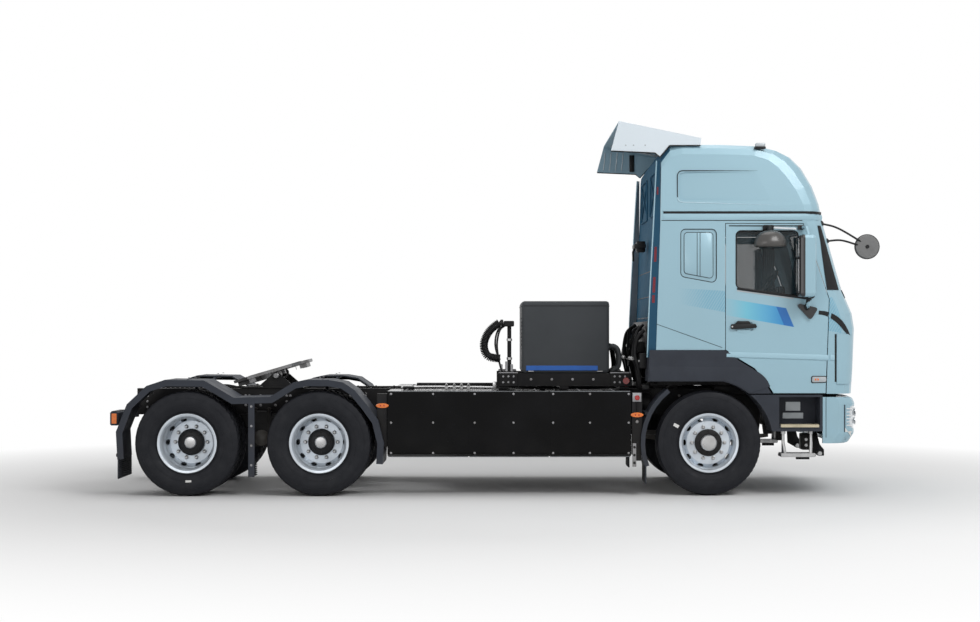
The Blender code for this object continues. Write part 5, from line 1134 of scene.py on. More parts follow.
recoated("roof_deflector", "cab", [(under_face, deflector_painted_shade)])
bm = bmesh.new()
for side in (1, -1):
    box(bm, (1.545, 1.600), span(side, 1.095, 1.112), (3.545, 3.740), 0.005)
shape("deflector_side_seals", bm, black_plastic, "cab")
for word, side in SIDES:
    bm = bmesh.new()
    outer, inner, edge = [], [], []
    for z, reach in ((1.42, 0.078), (1.80, 0.078), (2.30, 0.070), (2.80, 0.060), (3.10, 0.045),
                     (3.44, 0.026)):
        x, y = rear_x(z) - 0.001, CAB_Y * lean_at(z)
        outer.append([(x, side * (y - 0.004), z), (x - reach, side * (y - 0.045), z),
                      (x - reach, side * (y - 0.049), z), (x, side * (y - 0.010), z)])
        inner.append([(x, side * (y - 0.0105), z), (x - reach, side * (y - 0.0495), z),
                      (x - reach, side * (y - 0.053), z), (x, side * (y - 0.016), z)])
        edge.append((x - reach - 0.004, side * (y - 0.049), z))
    loft(bm, outer)
    loft(bm, inner, 1)
    rod(bm, edge, 0.0075, 8, 2)
    # The flange's outer sheet carries the painted shade.
    shape("rear_flange_" + word, bm, [flange_painted_shade, pale_metal, body_paint], "cab", 30)
    bm = bmesh.new()
    for low, high in ((3.09, 3.17), (2.40, 2.555), (2.085, 2.245), (1.98, 2.06)):
        for part in range(2):
            z0, z1 = low + (high - low) * part / 2, low + (high - low) * (part + 1) / 2 - 0.001
            strips = []
            for z in (z0, z1):
                reach = 0.078 - 0.018 * max(0.0, z - 1.8) if z < 2.8 else 0.060 - 0.05 * (z - 2.8)
                x, y = rear_x(z) - 0.001, CAB_Y * lean_at(z)
                spots = []
                for share, lift in ((0.38, 0.0012), (0.74, 0.0012), (0.74, -0.0015), (0.38, -0.0015)):
                    spots.append((x - reach * share, side * (y - 0.004 - 0.041 * share + lift), z))
                strips.append(spots)
            loft(bm, strips)
    shape("reflectors_" + word, bm, dark_red, "cab")

# Pressed frames and cross ribs in the rear panels, in the wall's painted-shade blue
bm = bmesh.new()
for y in (-0.55, 0.55):
    for z0, z1, deep in ((1.75, 2.25, 0.022), (2.42, 2.74, 0.040)):
        middle = (z0 + z1) / 2
        for a, b in (((-0.34, z0 + 0.05), (0.34, z1 - 0.05)), ((-0.34, z1 - 0.05), (0.34, z0 + 0.05))):
            points = [(rear_x(z) + deep - 0.003, y + s, z) for s,
                      z in (a, ((a[0] + b[0]) / 2, (a[1] + b[1]) / 2), b)]
            rod(bm, points, 0.009, 8)
for y in (-0.52, 0.52):
    outline = round_corners([(y - 0.36, 2.92), (y + 0.36, 2.92), (y + 0.30, 3.36), (y - 0.30, 3.36)], 0.05, 5)
    points = [(1.664, a, b) for a, b in outline]
    rod(bm, points + points[:1], 0.009, 8)
    rod(bm, [(1.664, y - 0.30, 2.97), (1.664, y, 3.14), (1.664, y + 0.27, 3.31)], 0.008, 8)
    rod(bm, [(1.664, y + 0.30, 2.97), (1.664, y, 3.14), (1.664, y - 0.27, 3.31)], 0.008, 8)
shape("rear_ribs", bm, rear_wall_painted_shade, "cab")
bm = bmesh.new()
for z in (2.062, 2.335):
    box(bm, (rear_x(z) - 0.0025, rear_x(z) + 0.004), (-1.12, 1.12), (z - 0.004, z + 0.004), 0.001, 1)
for k in range(14):
    y = -1.04 + 0.16 * k
    bolts(bm, [(rear_x(1.86) - 0.001, y, 1.835)], (-1, 0, 0), 0.008, 0.006, 1)
# Liner below the wall's painted part, with latch, cables and pipes
box(bm, (1.585, 1.622), (-1.06, 1.06), (1.44, 1.795), 0.006)
box(bm, (1.50, 1.63), (-0.06, 0.20), (2.60, 2.645), 0.010)
box(bm, (1.535, 1.63), (0.02, 0.14), (2.56, 2.68), 0.012)
rod(bm, [(1.53, 0.09, 2.63), (1.50, 0.10, 2.56), (1.505, 0.10, 2.46)], 0.011, 8)
shape("rear_wall_fittings", bm, [black_plastic, bright_steel], "cab")

# Hoses, pipes and boxes between cab and electronics box, carried by the rear bridge
bm = bmesh.new()
for k, (y, low, high, radius) in enumerate(((-0.86, 1.20, 1.70, 0.020), (-0.74, 1.16, 1.76, 0.016),
                                            (-0.60, 1.20, 1.66, 0.024), (-0.44, 1.18, 1.72, 0.016),
                                            (-0.28, 1.20, 1.74, 0.020), (0.0, 1.18, 1.66, 0.018),
                                            (0.24, 1.20, 1.76, 0.022), (0.42, 1.18, 1.70, 0.016),
                                            (0.58, 1.20, 1.74, 0.022), (0.76, 1.16, 1.68, 0.018))):
    sway = 0.03 * (1 if k % 2 else -1)
    if abs(y) > 0.5:
        points = [(1.50, y, 1.06 + 0.04), (1.47, y + sway, low + 0.12), (1.44, y, (low + high) / 2),
                  (1.47, y - sway, high - 0.08), (1.535, y, high)]
    else:
        points = [(1.55, y, 1.12), (1.50, y + sway, low + 0.14), (1.47, y, (low + high) / 2 + 0.05),
                  (1.48, y - sway, high - 0.06), (1.54, y, high)]
    rod(bm, curve_through(points, 6), radius)
for y, z, high, wide in ((-0.92, 1.30, 0.16, 0.14), (-0.66, 1.46, 0.12, 0.10), (-0.30, 1.34, 0.14, 0.16),
                         (0.12, 1.44, 0.12, 0.14), (0.50, 1.30, 0.16, 0.14), (0.88, 1.38, 0.14, 0.12)):
    box(bm, (1.475, 1.555), (y - wide / 2, y + wide / 2), (z, z + high), 0.012, 3)
    bolts(bm, [(1.475, y + wide * s, z + high / 2) for s in (-0.3, 0.3)], (-1, 0, 0), 0.010, 0.01, 1)
for y in (-0.80, -0.52, 0.34, 0.66):
    rod(bm, [(1.43, y, 1.40), (1.425, y + 0.10, 1.405)], 0.013, 10, 1)
    turn(bm, [(0, 0), (0.022, 0), (0.022, 0.03), (0, 0.03)], (1.425, y + 0.10, 1.405), (0, 1, 0), 6, 1)
box(bm, (1.50, 1.575), (-1.00, 1.00), (1.085, 1.135), 0.006)
shape("bridge_lines", bm, [hose_black, bright_steel], "chassis")

# Deflector: seal along the lower edge, ribs inside
bm = bmesh.new()
for side in (1, -1):
    line = [(1.172, 3.540), (1.62, 3.520), (1.672, 3.478), (1.771, 3.596), (2.087, 3.597)]
    for (x0, z0), (x1, z1) in zip(line, line[1:]):
        rod(bm, [(x0, side * 1.137, z0), (x1, side * 1.137, z1)], 0.0065, 8)
shape("deflector_seal", bm, black_plastic, "cab")
bm = bmesh.new()
for side in (1, -1):
    for x in (1.245, 1.315, 1.385, 1.455):
        rod(bm, [(x, side * 1.1135, 3.56), (x + 0.02, side * 1.1135, 3.77)], 0.005, 6)
    for x in (1.32, 1.40, 1.52):
        bolts(bm, [(x, side * 1.135, 3.60)], (0, side, 0), 0.006, 0.004)
for y in (-0.7, 0.0, 0.7):
    rod(bm, [(1.30, y, 3.80), (1.60, y, 3.735), (1.98, y, 3.65)], 0.010, 8)
shape("deflector_ribs", bm, pale_metal, "cab")

# Kerb mirror and front mirror, as smooth shells over the plain ones
shell_plastic = (Look("mirror_shell", srgb(66, 64, 62), 0.30, 0.0, 0.2).mottle(5.0, srgb(56, 54, 53), 0.5)
                 .grain(400.0, 0.0001, 0.3).rough(6.0, 0.05).done())
bm = bmesh.new()
turn(bm, [(0.0, 0.127), (0.05, 0.124), (0.10, 0.105), (0.14, 0.066), (0.160, 0.02), (0.166, -0.005),
          (0.162, -0.030), (0.150, -0.040), (0.0, -0.040)], (0, 0, 0), (0, 0, 1), 40)
bmesh.ops.transform(bm, matrix=Matrix.Translation((2.77, -1.345, 2.585))
                    @ Matrix.Diagonal((1.0, 0.7, 1.0, 1.0)), verts=bm.verts)
rod(bm, [(2.77, -1.205, 2.748), (2.77, -1.28, 2.752), (2.77, -1.32, 2.70)], 0.0215, 12, 1)
slab(bm, round_corners([(2.715, 2.715), (2.825, 2.715), (2.825, 2.775), (2.715, 2.775)], 0.012, 4), "Y",
     -1.236, -1.208, 0.003, 1)
kerb = shape("kerb_mirror_shell", bm, [shell_plastic, black_plastic], "door_right")
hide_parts("kerb_mirror")
bm = bmesh.new()
centre = (3.8416, -0.93, 2.567)
turn(bm, [(0.0, -0.036), (0.06, -0.036), (0.116, -0.034), (0.128, -0.022), (0.130, -0.012), (0.124, -0.004),
          (0.112, 0.014), (0.085, 0.036), (0.045, 0.052), (0.0, 0.056)], centre, (0, 1, 0), 40)
turn(bm, [(0.1235, -0.026), (0.1302, -0.026), (0.1302, -0.008), (0.1235, -0.008)], centre, (0, 1, 0), 48, 1)
turn(bm, [(0.0, -0.0345), (0.02, -0.0345), (0.02, -0.040), (0.0, -0.040)], centre, (0, 1, 0), 20, 1)
for base, bend, tip in (((3.34, -1.07, 2.80), (3.52, -1.03, 2.755), (3.775, -0.955, 2.62)),
                        ((3.40, -1.045, 2.62), (3.56, -1.01, 2.630), (3.745, -0.955, 2.585))):
    rod(bm, curve_through([base, bend, tip, centre], 8), 0.0105, 10, 1)
    turn(bm, [(0, -0.01), (0.026, -0.01), (0.026, 0.016), (0.018, 0.022), (0, 0.022)], base, (0.7, -0.6, 0.3),
         16, 1)
grey_disc = (Look("grey_disc", srgb(112, 112, 112), 0.5).mottle(8.0, srgb(98, 98, 98), 0.5)
             .grain(400.0, 0.0002, 0.4).rough(6.0, 0.06).done())
front = shape("front_mirror_shell", bm, [grey_disc, black_plastic], "cab")
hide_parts("front_mirror")
for word, side in SIDES:
    bm = bmesh.new()
    for y0, y1, z0, z1, x0, x1, material in ((1.305, 1.47, 2.06, 2.64, 3.0405, 3.0462, 0),
                                             (1.315, 1.46, 2.075, 2.42, 3.0375, 3.0425, 1),
                                             (1.315, 1.46, 2.44, 2.625, 3.0375, 3.0425, 1)):
        corners = [(side * y0, z0), (side * y1, z0), (side * y1, z1), (side * y0, z1)]
        slab(bm, round_corners(corners, 0.02, 4), "X", x0, x1, 0.001, material)
    rod(bm, [(3.16, side * 1.245, 1.925), (3.158, side * 1.30, 1.955), (3.155, side * 1.38, 2.035)], 0.024,
        12)
    shape("mirror_glass_" + word, bm, [black_plastic, mirror_glass], "door_" + word)

# Headlamps: reflector finish, chrome rings over reflector centres, a dark strip, a white strip and chrome
# slats
reflector = (Look("reflector", srgb(214, 220, 224), 0.22, 0.55, 0.2).mottle(22.0, srgb(150, 158, 164), 0.6)
             .rough(14.0, 0.06).done())
give(reflector, "headlamp_left", "headlamp_right")
for word, side in SIDES:
    on_bumper = on_skin(side, BUMPER_NOSE)
    bm = bmesh.new()
    for z, radius in ((0.855, 0.044), (0.765, 0.040)):
        spot = front_point(side * 1.0, z, 0.006, BUMPER_NOSE)
        turn(bm, [(0, 0.0), (radius, 0.0), (radius, 0.008), (radius - 0.008, 0.010), (radius * 0.6, -0.002),
                  (0, -0.004)], spot, (1, 0, 0), 28)
        turn(bm, [(0, 0.0), (radius * 0.55, 0.0), (radius * 0.4, 0.012), (0, 0.016)], spot, (1, 0, 0), 24, 1)
    ribbon(bm, [[(3.553 + 0.008 * k, 0.936 - 0.035 * i) for i in range(9)] for k in range(2)], (0.003, 0.003),
           0.004, on_bumper, 2)
    ribbon(bm, [[(3.56 + 0.004 * i, 0.70 - 0.005 * i) for i in range(20)],
                [(3.56 + 0.004 * i, 0.656 + 0.0005 * i) for i in range(20)]], (0.004, 0.004), 0.004,
           on_bumper, 3)
    for k in range(6):
        z = 0.90 - 0.034 * k
        ribbon(bm, [[(3.575 + 0.006 * i, z) for i in range(12)],
                    [(3.575 + 0.006 * i, z - 0.010) for i in range(12)]], (0.003, 0.003), 0.003, on_bumper)
    shape("headlamp_optics_" + word, bm, [chrome, reflector, dark_plastic, white_mark], "chassis")

# Steps: blank plates, serrated tread, bright hanging step
tread_metal = (Look("tread_metal", srgb(196, 186, 160), 0.42, 0.5).mottle(9.0, srgb(150, 142, 120), 0.5)
               .grain(200.0, 0.0003, 0.5).rough(9.0, 0.1).done())
for word, side in SIDES:
    bm = bmesh.new()
    box(bm, (2.995, 3.148), span(side, 0.9505, 0.9535), (0.864, 0.956), 0.001, 1)
    box(bm, (2.964, 3.178), span(side, 0.9505, 0.9535), (0.783, 0.844), 0.001, 1)
    shape("blank_plates_" + word, bm, pale_metal, "chassis")
    bm = bmesh.new()
    box(bm, (2.900, 3.292), span(side, 1.130, 1.2165), (0.7265, 0.7325), 0.002, 1)
    box(bm, (2.900, 3.292), span(side, 1.208, 1.2185), (0.705, 0.7325), 0.002, 1)
    for k in range(19):
        x = 2.912 + 0.0205 * k
        turn(bm, [(0.0, -0.042), (0.006, -0.042), (0.006, 0.036), (0.0, 0.036)], (x, side * 1.172, 0.7335),
             (0, 1, 0), 6)
    shape("step_tread_" + word, bm, tread_metal, "chassis")
    bm = bmesh.new()
    for x, foot in ((2.935, 2.955), (3.222, 3.215)):
        rod(bm, [(x, side * 1.135, 0.676), (x, side * 1.142, 0.55), (foot, side * 1.15, 0.432)], 0.0165)
        turn(bm, [(0, -0.02), (0.026, -0.02), (0.026, 0.02), (0, 0.02)], (x, side * 1.135, 0.655), (0, 0, 1),
             14)
    for y in (1.045, 1.195):
        box(bm, (2.905, 3.255), span(side, y - 0.007, y + 0.007), (0.400, 0.440), 0.003, 1)
    for k in range(15):
        x = 2.92 + 0.0228 * k
        box(bm, (x, x + 0.009), span(side, 1.05, 1.19), (0.424, 0.436), 0.002, 1)
    for x in (2.91, 3.25):
        box(bm, (x - 0.006, x + 0.006), span(side, 1.045, 1.195), (0.402, 0.440), 0.002, 1)
    box(bm, (3.08, 3.22), span(side, 1.06, 1.075), (0.368, 0.402), 0.003, 1, 1)
    shape("hanging_step_" + word, bm, [bright_steel, black_steel], "chassis")

# Tow eye and lines behind the bumper's lower corner
bm = bmesh.new()
for side in (1, -1):
    slab(bm, [(3.29, 0.62), (3.38, 0.62), (3.40, 0.50), (3.455, 0.44), (3.455, 0.375), (3.40, 0.372),
              (3.30, 0.43)], "Y", *span(side, 0.60, 0.66), 0.006)
    rod(bm, [(3.395, side * 0.52, 0.405), (3.395, side * 0.74, 0.405)], 0.022, 12, 1)
    box(bm, (3.18, 3.27), span(side, 0.70, 0.86), (0.45, 0.62), 0.012)
    bolts(bm, [(3.225, side * 0.865, 0.56), (3.225, side * 0.865, 0.50)], (0, side, 0), 0.012, 0.01, 1)
shape("tow_brackets", bm, [black_steel, bright_steel], "chassis")

# Batteries: fasteners, seams, top line, wraparound frame
for word, side in SIDES:
    bm = bmesh.new()
    xs = (-1.089, -0.658, -0.232, 0.166, 0.572, 0.949, 1.346)
    for x in xs:
        for z in (1.046, 0.752, 0.441):
            bolts(bm, [(x, side * 1.1895, z)], (0, side, 0), 0.0085, 0.006)
    for x in (-0.95, -0.50, -0.05, 0.40, 0.85, 1.20):
        bolts(bm, [(x, side * (0.55 + 0.25 * k), 1.0748) for k in range(3)], (0, 0, 1), 0.009, 0.007)
    shape("battery_bolts_" + word, bm, motor_metal, "chassis")
    bm = bmesh.new()
    for x0, x1 in ((-1.115, -0.30), (-0.285, 0.525), (0.54, 1.36)):
        rod(bm, [(x0, side * 1.1835, 1.0715), (x1, side * 1.1835, 1.0715)], 0.0055, 8)
        rod(bm, [(x0, side * 1.1835, 0.4035), (x1, side * 1.1835, 0.4035)], 0.0045, 8)
    shape("battery_edges_" + word, bm, Look("edge_line", (0.16, 0.17, 0.18), 0.25, 0.6)
          .mottle(6.0, (0.05, 0.05, 0.05), 0.6).rough(9.0, 0.1).done() if side > 0
          else bpy.data.materials["edge_line"], "chassis")
    # Side markers, isolator plate and the post before the front wheel
    bm = bmesh.new()
    for x, z in ((-1.178, 0.927), (1.432, 0.832)):
        outline = [(x + 0.066 * math.cos(math.tau * k / 24), z + 0.024 * math.sin(math.tau * k / 24))
                   for k in range(24)]
        slab(bm, outline, "Y", *span(side, 1.180, 1.197), 0.004)
        for k in (-1, 1):
            box(bm, (x + 0.018 * k - 0.006, x + 0.018 * k + 0.006), span(side, 1.196, 1.199),
                (z - 0.008, z + 0.008), 0.001, 1, 1)
    shape("side_markers_" + word, bm, [orange_lens, red_lens], "chassis")
    bm = bmesh.new()
    box(bm, (-1.235, -1.13), span(side, 1.120, 1.181), (0.50, 1.05), 0.006)
    box(bm, (1.380, 1.485), span(side, 1.110, 1.181), (0.42, 1.062), 0.006)
    box(bm, (1.384, 1.476), span(side, 1.181, 1.193), (0.965, 1.058), 0.006, 2, 1)
    turn(bm, [(0, 0), (0.026, 0), (0.026, 0.010), (0.020, 0.016), (0, 0.016)], (1.432, side * 1.193, 1.008),
         (0, side, 0), 20, 2)
    rod(bm, [(1.432, side * 1.196, 0.962), (1.430, side * 1.200, 0.90), (1.435, side * 1.190, 0.86)], 0.007,
        8)
    turn(bm, [(0, 0), (0.019, 0), (0.014, 0.010), (0, 0.012)], (1.432, side * 1.181, 0.762), (0, side, 0), 16,
         1)
    box(bm, (1.385, 1.425), span(side, 1.165, 1.185), (0.30, 0.54), 0.004, 1, 1)
    box(bm, (1.425, 1.475), span(side, 1.150, 1.170), (0.36, 0.50), 0.004, 1)
    bolts(bm, [(1.405, side * 1.185, z) for z in (0.34, 0.42, 0.50)], (0, side, 0), 0.010)
    shape("side_post_" + word, bm, [black_steel, motor_metal, red_lens], "chassis")

# Pipe with its unions on the right battery, and a cable duct on the left one
bm = bmesh.new()
rod(bm, curve_through([(-1.02, -0.52, 1.092), (-0.96, -0.52, 1.098), (-0.60, -0.52, 1.100),
                       (-0.10, -0.52, 1.094), (-0.02, -0.52, 1.094)], 5), 0.011)
for x in (-0.538, -0.455, -0.379, -0.305):
    turn(bm, [(0, -0.018), (0.021, -0.018), (0.021, 0.010), (0.014, 0.014), (0.014, 0.030), (0, 0.030)],
         (x, -0.52, 1.098), (0, 0, 1), 8)
    rod(bm, [(x, -0.52, 1.12), (x, -0.545, 1.125), (x, -0.575, 1.118)], 0.012, 8)
box(bm, (-0.045, -0.005), (-0.54, -0.50), (1.078, 1.155), 0.006)
box(bm, (-1.00, -0.88), (-0.56, -0.48), (1.076, 1.106), 0.008, 2, 1)
box(bm, (-0.90, 0.20), (0.50, 0.58), (1.076, 1.112), 0.008, 2, 1)
shape("battery_top_pipe", bm, [bright_steel, black_plastic], "chassis")

# Electronics box: lid joint, blue strip, vents, latches, feet
bm = bmesh.new()
for side in (1, -1):
    box(bm, (0.307, 1.067), span(side, 0.5995, 0.604), (1.274, 1.325), 0.002, 1)
shape("blue_strips", bm, strip_blue, "chassis")
bm = bmesh.new()
for side in (1, -1):
    box(bm, (0.285, 1.165), span(side, 0.5995, 0.6022), (1.955, 1.962), 0.001, 1)
    for x in (0.36, 1.09):
        box(bm, (x - 0.03, x + 0.03), span(side, 0.60, 0.612), (1.262, 1.270), 0.002, 1, 1)
for x0, x1 in ((0.2545, 0.2615), (1.1885, 1.1955)):
    box(bm, (x0, x1), (-0.57, 0.57), (1.955, 1.962), 0.001, 1)
for k in range(9):
    box(bm, (0.2535, 0.2605), (-0.45, -0.05), (1.50 + 0.04 * k, 1.515 + 0.04 * k), 0.002, 1)
for k in range(3):
    box(bm, (1.189, 1.22), (0.10 + 0.14 * k, 0.20 + 0.14 * k), (1.50, 1.60), 0.008, 2, 2)
    rod(bm, curve_through([(1.21, 0.15 + 0.14 * k, 1.55), (1.27, 0.15 + 0.14 * k, 1.52),
                           (1.30, 0.15 + 0.14 * k, 1.36), (1.30, 0.15 + 0.12 * k, 1.262)], 6), 0.018, 10, 2)
shape("box_fittings", bm, [black_plastic, bright_steel, hose_black], "chassis")


def conduit(bm, points, radius, pitch=0.011):
    """A corrugated tube along a smooth line."""
    path = curve_through(points, 14)
    lengths = lengths_along(path)
    part = bmesh.new()
    rings = []
    steps = int(lengths[-1] / (pitch / 2))
    normal = (path[1] - path[0]).orthogonal().normalized()
    for k in range(steps + 1):
        spot, tangent = place_on(path, lengths, lengths[-1] * k / steps)
        normal = (normal - tangent * normal.dot(tangent)).normalized()
        across = tangent.cross(normal)
        size = radius if k % 2 else radius * 0.84
        rings.append(ring_round(part, spot, normal, across, size, 14))
    skin_rings(part, rings)
    bmesh.ops.recalc_face_normals(part, faces=part.faces)
    place_in(bm, part, None, 0)


bm = bmesh.new()
for y, grow in ((-0.50, 0.0), (-0.40, -0.02), (-0.28, -0.01)):
    conduit(bm, [(1.185, y, 1.52 + grow), (1.235, y, 1.535 + grow), (1.285, y, 1.50 + grow), (1.305, y, 1.41),
                 (1.295, y, 1.32), (1.25, y, 1.285), (1.215, y, 1.262)], 0.026)
shape("conduits", bm, Look("conduit_grey", srgb(84, 86, 88), 0.5).mottle(20.0, srgb(60, 62, 64), 0.5)
      .rough(9.0, 0.08).done(), "chassis", 60)

# Cradle: plates with their holes, cross bolts, red coupling and the hose stand's fittings
bm = bmesh.new()
for side in (1, -1):
    for x0 in (0.02, 1.20):
        box(bm, (x0, x0 + 0.20), span(side, 0.6005, 0.612), (1.105, 1.265), 0.003, 1)
        for k in range(3):
            for j in range(2):
                turn(bm, [(0, 0), (0.011, 0), (0.011, 0.0012), (0, 0.0012)],
                     (x0 + 0.045 + 0.055 * k, side * 0.612, 1.150 + 0.062 * j), (0, side, 0), 14, 1)
        box(bm, (x0 - 0.002, x0 + 0.202), span(side, 0.54, 0.618), (1.245, 1.256), 0.002, 1, 1)
    for k in range(4):
        bolts(bm, [(0.36 + 0.22 * k, side * 0.6005, 1.18)], (0, side, 0), 0.010, 0.008, 1)
for k in range(3):
    x = 0.045 + 0.055 * k
    box(bm, (x - 0.014, x + 0.014), (-0.60, -0.57), (1.256, 1.34 + 0.03 * (k % 2)), 0.004, 1, 1)
shape("cradle_plates", bm, [black_steel, motor_metal], "chassis")
bm = bmesh.new()
box(bm, (1.335, 1.395), (-0.60, -0.54), (1.10, 1.225), 0.012, 3)
turn(bm, [(0, -0.03), (0.034, -0.03), (0.034, 0.02), (0.022, 0.03), (0, 0.03)], (1.365, -0.60, 1.165),
     (0, 1, 0), 20)
shape("red_coupling", bm, red_lens, "chassis")
bm = bmesh.new()
for y, bend in ((-0.60, 0.0), (-0.52, 0.02)):
    rod(bm, curve_through([(0.10, y, 1.76), (0.03 - bend, y, 1.70), (0.0 - bend, y, 1.55), (0.02, y, 1.38),
                           (0.05, y, 1.262)], 7), 0.010)
    turn(bm, [(0, -0.02), (0.020, -0.02), (0.020, 0.02), (0, 0.02)], (0.10, y, 1.765), (1, 0, 0), 14, 1)
for z in (1.40, 1.60):
    turn(bm, [(0.0215, -0.012), (0.030, -0.012), (0.030, 0.012), (0.0215, 0.012)], (0.13, -0.56, z),
         (0, 0, 1), 20, 1)
shape("hose_stand_lines", bm, [hose_black, bright_steel], "chassis")

# Fenders: post brackets, ribbed flaps, tail lamps
for word, side in SIDES:
    bm = bmesh.new()
    box(bm, (-2.562, -2.466), span(side, 1.10, 1.2475), (0.975, 1.015), 0.006)
    box(bm, (-2.545, -2.480), span(side, 1.235, 1.2495), (0.20, 1.0), 0.004, 1)
    for k in range(4):
        bolts(bm, [(-2.512, side * 1.2495, 0.32 + 0.2 * k)], (0, side, 0), 0.009, 0.007, 1)
    shape("fender_post_" + word, bm, [dark_plastic, motor_metal], "chassis")
    bm = bmesh.new()
    for k in range(9):
        z = 0.192 + 0.0205 * k
        box(bm, (-3.871, -3.861), span(side, 0.64, 1.235), (z, z + 0.010), 0.002, 1)
    for k in range(6):
        z = 0.212 + 0.021 * k
        box(bm, (-2.500, -2.470), span(side, 1.10, 1.235), (z, z + 0.010), 0.002, 1)
    box(bm, (-3.895, -3.872), span(side, 0.64, 1.24), (0.405, 0.440), 0.005)
    for k in range(5):
        y = 0.90 + 0.065 * k
        box(bm, (1.508, 1.5145), span(side, y, y + 0.022), (0.14, 0.35), 0.003, 1)
    shape("flap_ribs_" + word, bm, rubber, "chassis")
    bm = bmesh.new()
    for k, material in ((0, 0), (1, 0), (2, 1), (3, 2)):
        y0 = 0.815 + 0.093 * k
        box(bm, (-3.9705, -3.955), span(side, y0, y0 + 0.085), (0.736, 0.850), 0.006, 2, material)
    box(bm, (-3.952, -3.900), span(side, 1.188, 1.1925), (0.742, 0.845), 0.003, 1, 1)
    box(bm, (-3.955, -3.90), span(side, 0.80, 1.186), (0.8645, 0.870), 0.002, 1, 3)
    rod(bm, curve_through([(-3.90, side * 0.90, 0.80), (-3.86, side * 0.80, 0.84), (-3.86, side * 0.55, 0.88),
                           (-3.80, side * 0.40, 0.90)], 6), 0.009, 8, 3)
    shape("tail_lamp_lenses_" + word, bm, [red_lens, orange_lens, white_mark, black_plastic], "chassis")
    bm = bmesh.new()
    for axle in (MID_X, REAR_X):
        for angle in (48, 90, 132):
            x = axle + 0.667 * math.cos(math.radians(angle))
            z = AXLE_Z + 0.667 * math.sin(math.radians(angle))
            for y in (0.74, 1.10):
                if angle != 90 and (axle == MID_X) == (angle > 90):
                    continue
                bolts(bm, [(x, side * y, z)],
                      (math.cos(math.radians(angle)), 0, math.sin(math.radians(angle))), 0.010, 0.007)
    shape("fender_bolts_" + word, bm, motor_metal, "chassis")

# Front wheel arch liner and the dark parts seen under the cab
bm = bmesh.new()
for side in (1, -1):
    arc = [(FRONT_X + 0.70 * math.cos(math.radians(a)), AXLE_Z + 0.70 * math.sin(math.radians(a)))
           for a in range(38, 127, 8)]
    inner = [(FRONT_X + 0.685 * math.cos(math.radians(a)), AXLE_Z + 0.685 * math.sin(math.radians(a)))
             for a in range(126, 37, -8)]
    slab(bm, arc + inner, "Y", *span(side, 0.62, 0.845))
    box(bm, (1.60, 1.90), span(side, 0.50, 0.78), (1.10, 1.17), 0.02)
    box(bm, (2.30, 2.72), span(side, 0.47, 0.545), (1.01, 1.16), 0.03)
    box(bm, (2.80, 3.30), span(side, 0.47, 0.84), (0.80, 1.02), 0.03)
    turn(bm, [(0, -0.10), (0.095, -0.10), (0.11, -0.085), (0.11, 0.085), (0.095, 0.10), (0, 0.10)],
         (1.53, side * 0.60, 0.93), (1, 0, 0), 28)
    box(bm, (2.806, 2.8135), span(side, 0.47, 0.845), (0.70, 1.10), 0.002, 1)
    for k in range(3):
        rod(bm, curve_through([(3.20, side * (0.46 + 0.03 * k), 1.02), (2.9, side * (0.46 + 0.03 * k), 1.09),
                               (2.2, side * (0.46 + 0.03 * k), 1.10), (1.75, side * (0.46 + 0.03 * k), 1.09)],
                              5), 0.012, 8, 1)
shape("under_cab_parts", bm, [black_steel, hose_black], "chassis")

bm = bmesh.new()
for side in (1, -1):
    box(bm, (1.66, 2.74), span(side, 0.800, 0.846), (1.125, 1.32), 0.006)
    for k in range(9):
        bolts(bm, [(1.75 + 0.115 * k, side * 0.846, 1.15)], (0, side, 0), 0.008, 0.006)
shape("floor_liner", bm, black_steel, "cab")

# Frame rails: bolts, clips, air and power lines, tanks between the rails
bm = bmesh.new()
for side in (1, -1):
    for x in [3.45, 3.25, 2.95, 2.82, 2.3, 1.95, 1.62, 1.43] + [-1.25 - 0.16 * k for k in range(15)]:
        for z in (0.90, 1.00):
            bolts(bm, [(x, side * RAIL_Y, z)], (0, side, 0), 0.011, 0.009)
    for x in (1.50, 0.62, -1.05, -2.25, -2.65, -3.74):
        for z in (0.88, 0.94, 1.00):
            bolts(bm, [(x, side * RAIL_Y, z)], (0, side, 0), 0.010)
shape("frame_bolts", bm, motor_metal, "chassis")
bm = bmesh.new()
for y, z in ((0.300, 0.985), (0.275, 0.955), (-0.300, 0.985), (-0.275, 0.955)):
    rod(bm, [(-3.60, y, z), (-3.0, y, z), (-1.2, y, z + 0.004), (-0.75, y, z), (-0.65, y, z)], 0.011, 8)
for x0, x1, y in ((-1.85, -1.20, 0.0), (0.72, 1.38, 0.0), (0.72, 1.38, -0.20)):
    turn(bm, [(0, x0), (0.07, x0 + 0.004), (0.095, x0 + 0.03), (0.098, x0 + 0.06), (0.098, x1 - 0.06),
              (0.095, x1 - 0.03), (0.07, x1 - 0.004), (0, x1)], (0, y if x0 > 0 else 0.20, 0.93), (1, 0, 0),
         28, 1)
for x in (-3.45, -2.95, -2.05, -1.45, -0.90):
    box(bm, (x - 0.012, x + 0.012), (0.262, 0.345), (0.94, 1.0), 0.003, 1)
    box(bm, (x - 0.012, x + 0.012), (-0.345, -0.262), (0.94, 1.0), 0.003, 1)
shape("frame_lines", bm, [hose_black, black_steel], "chassis")

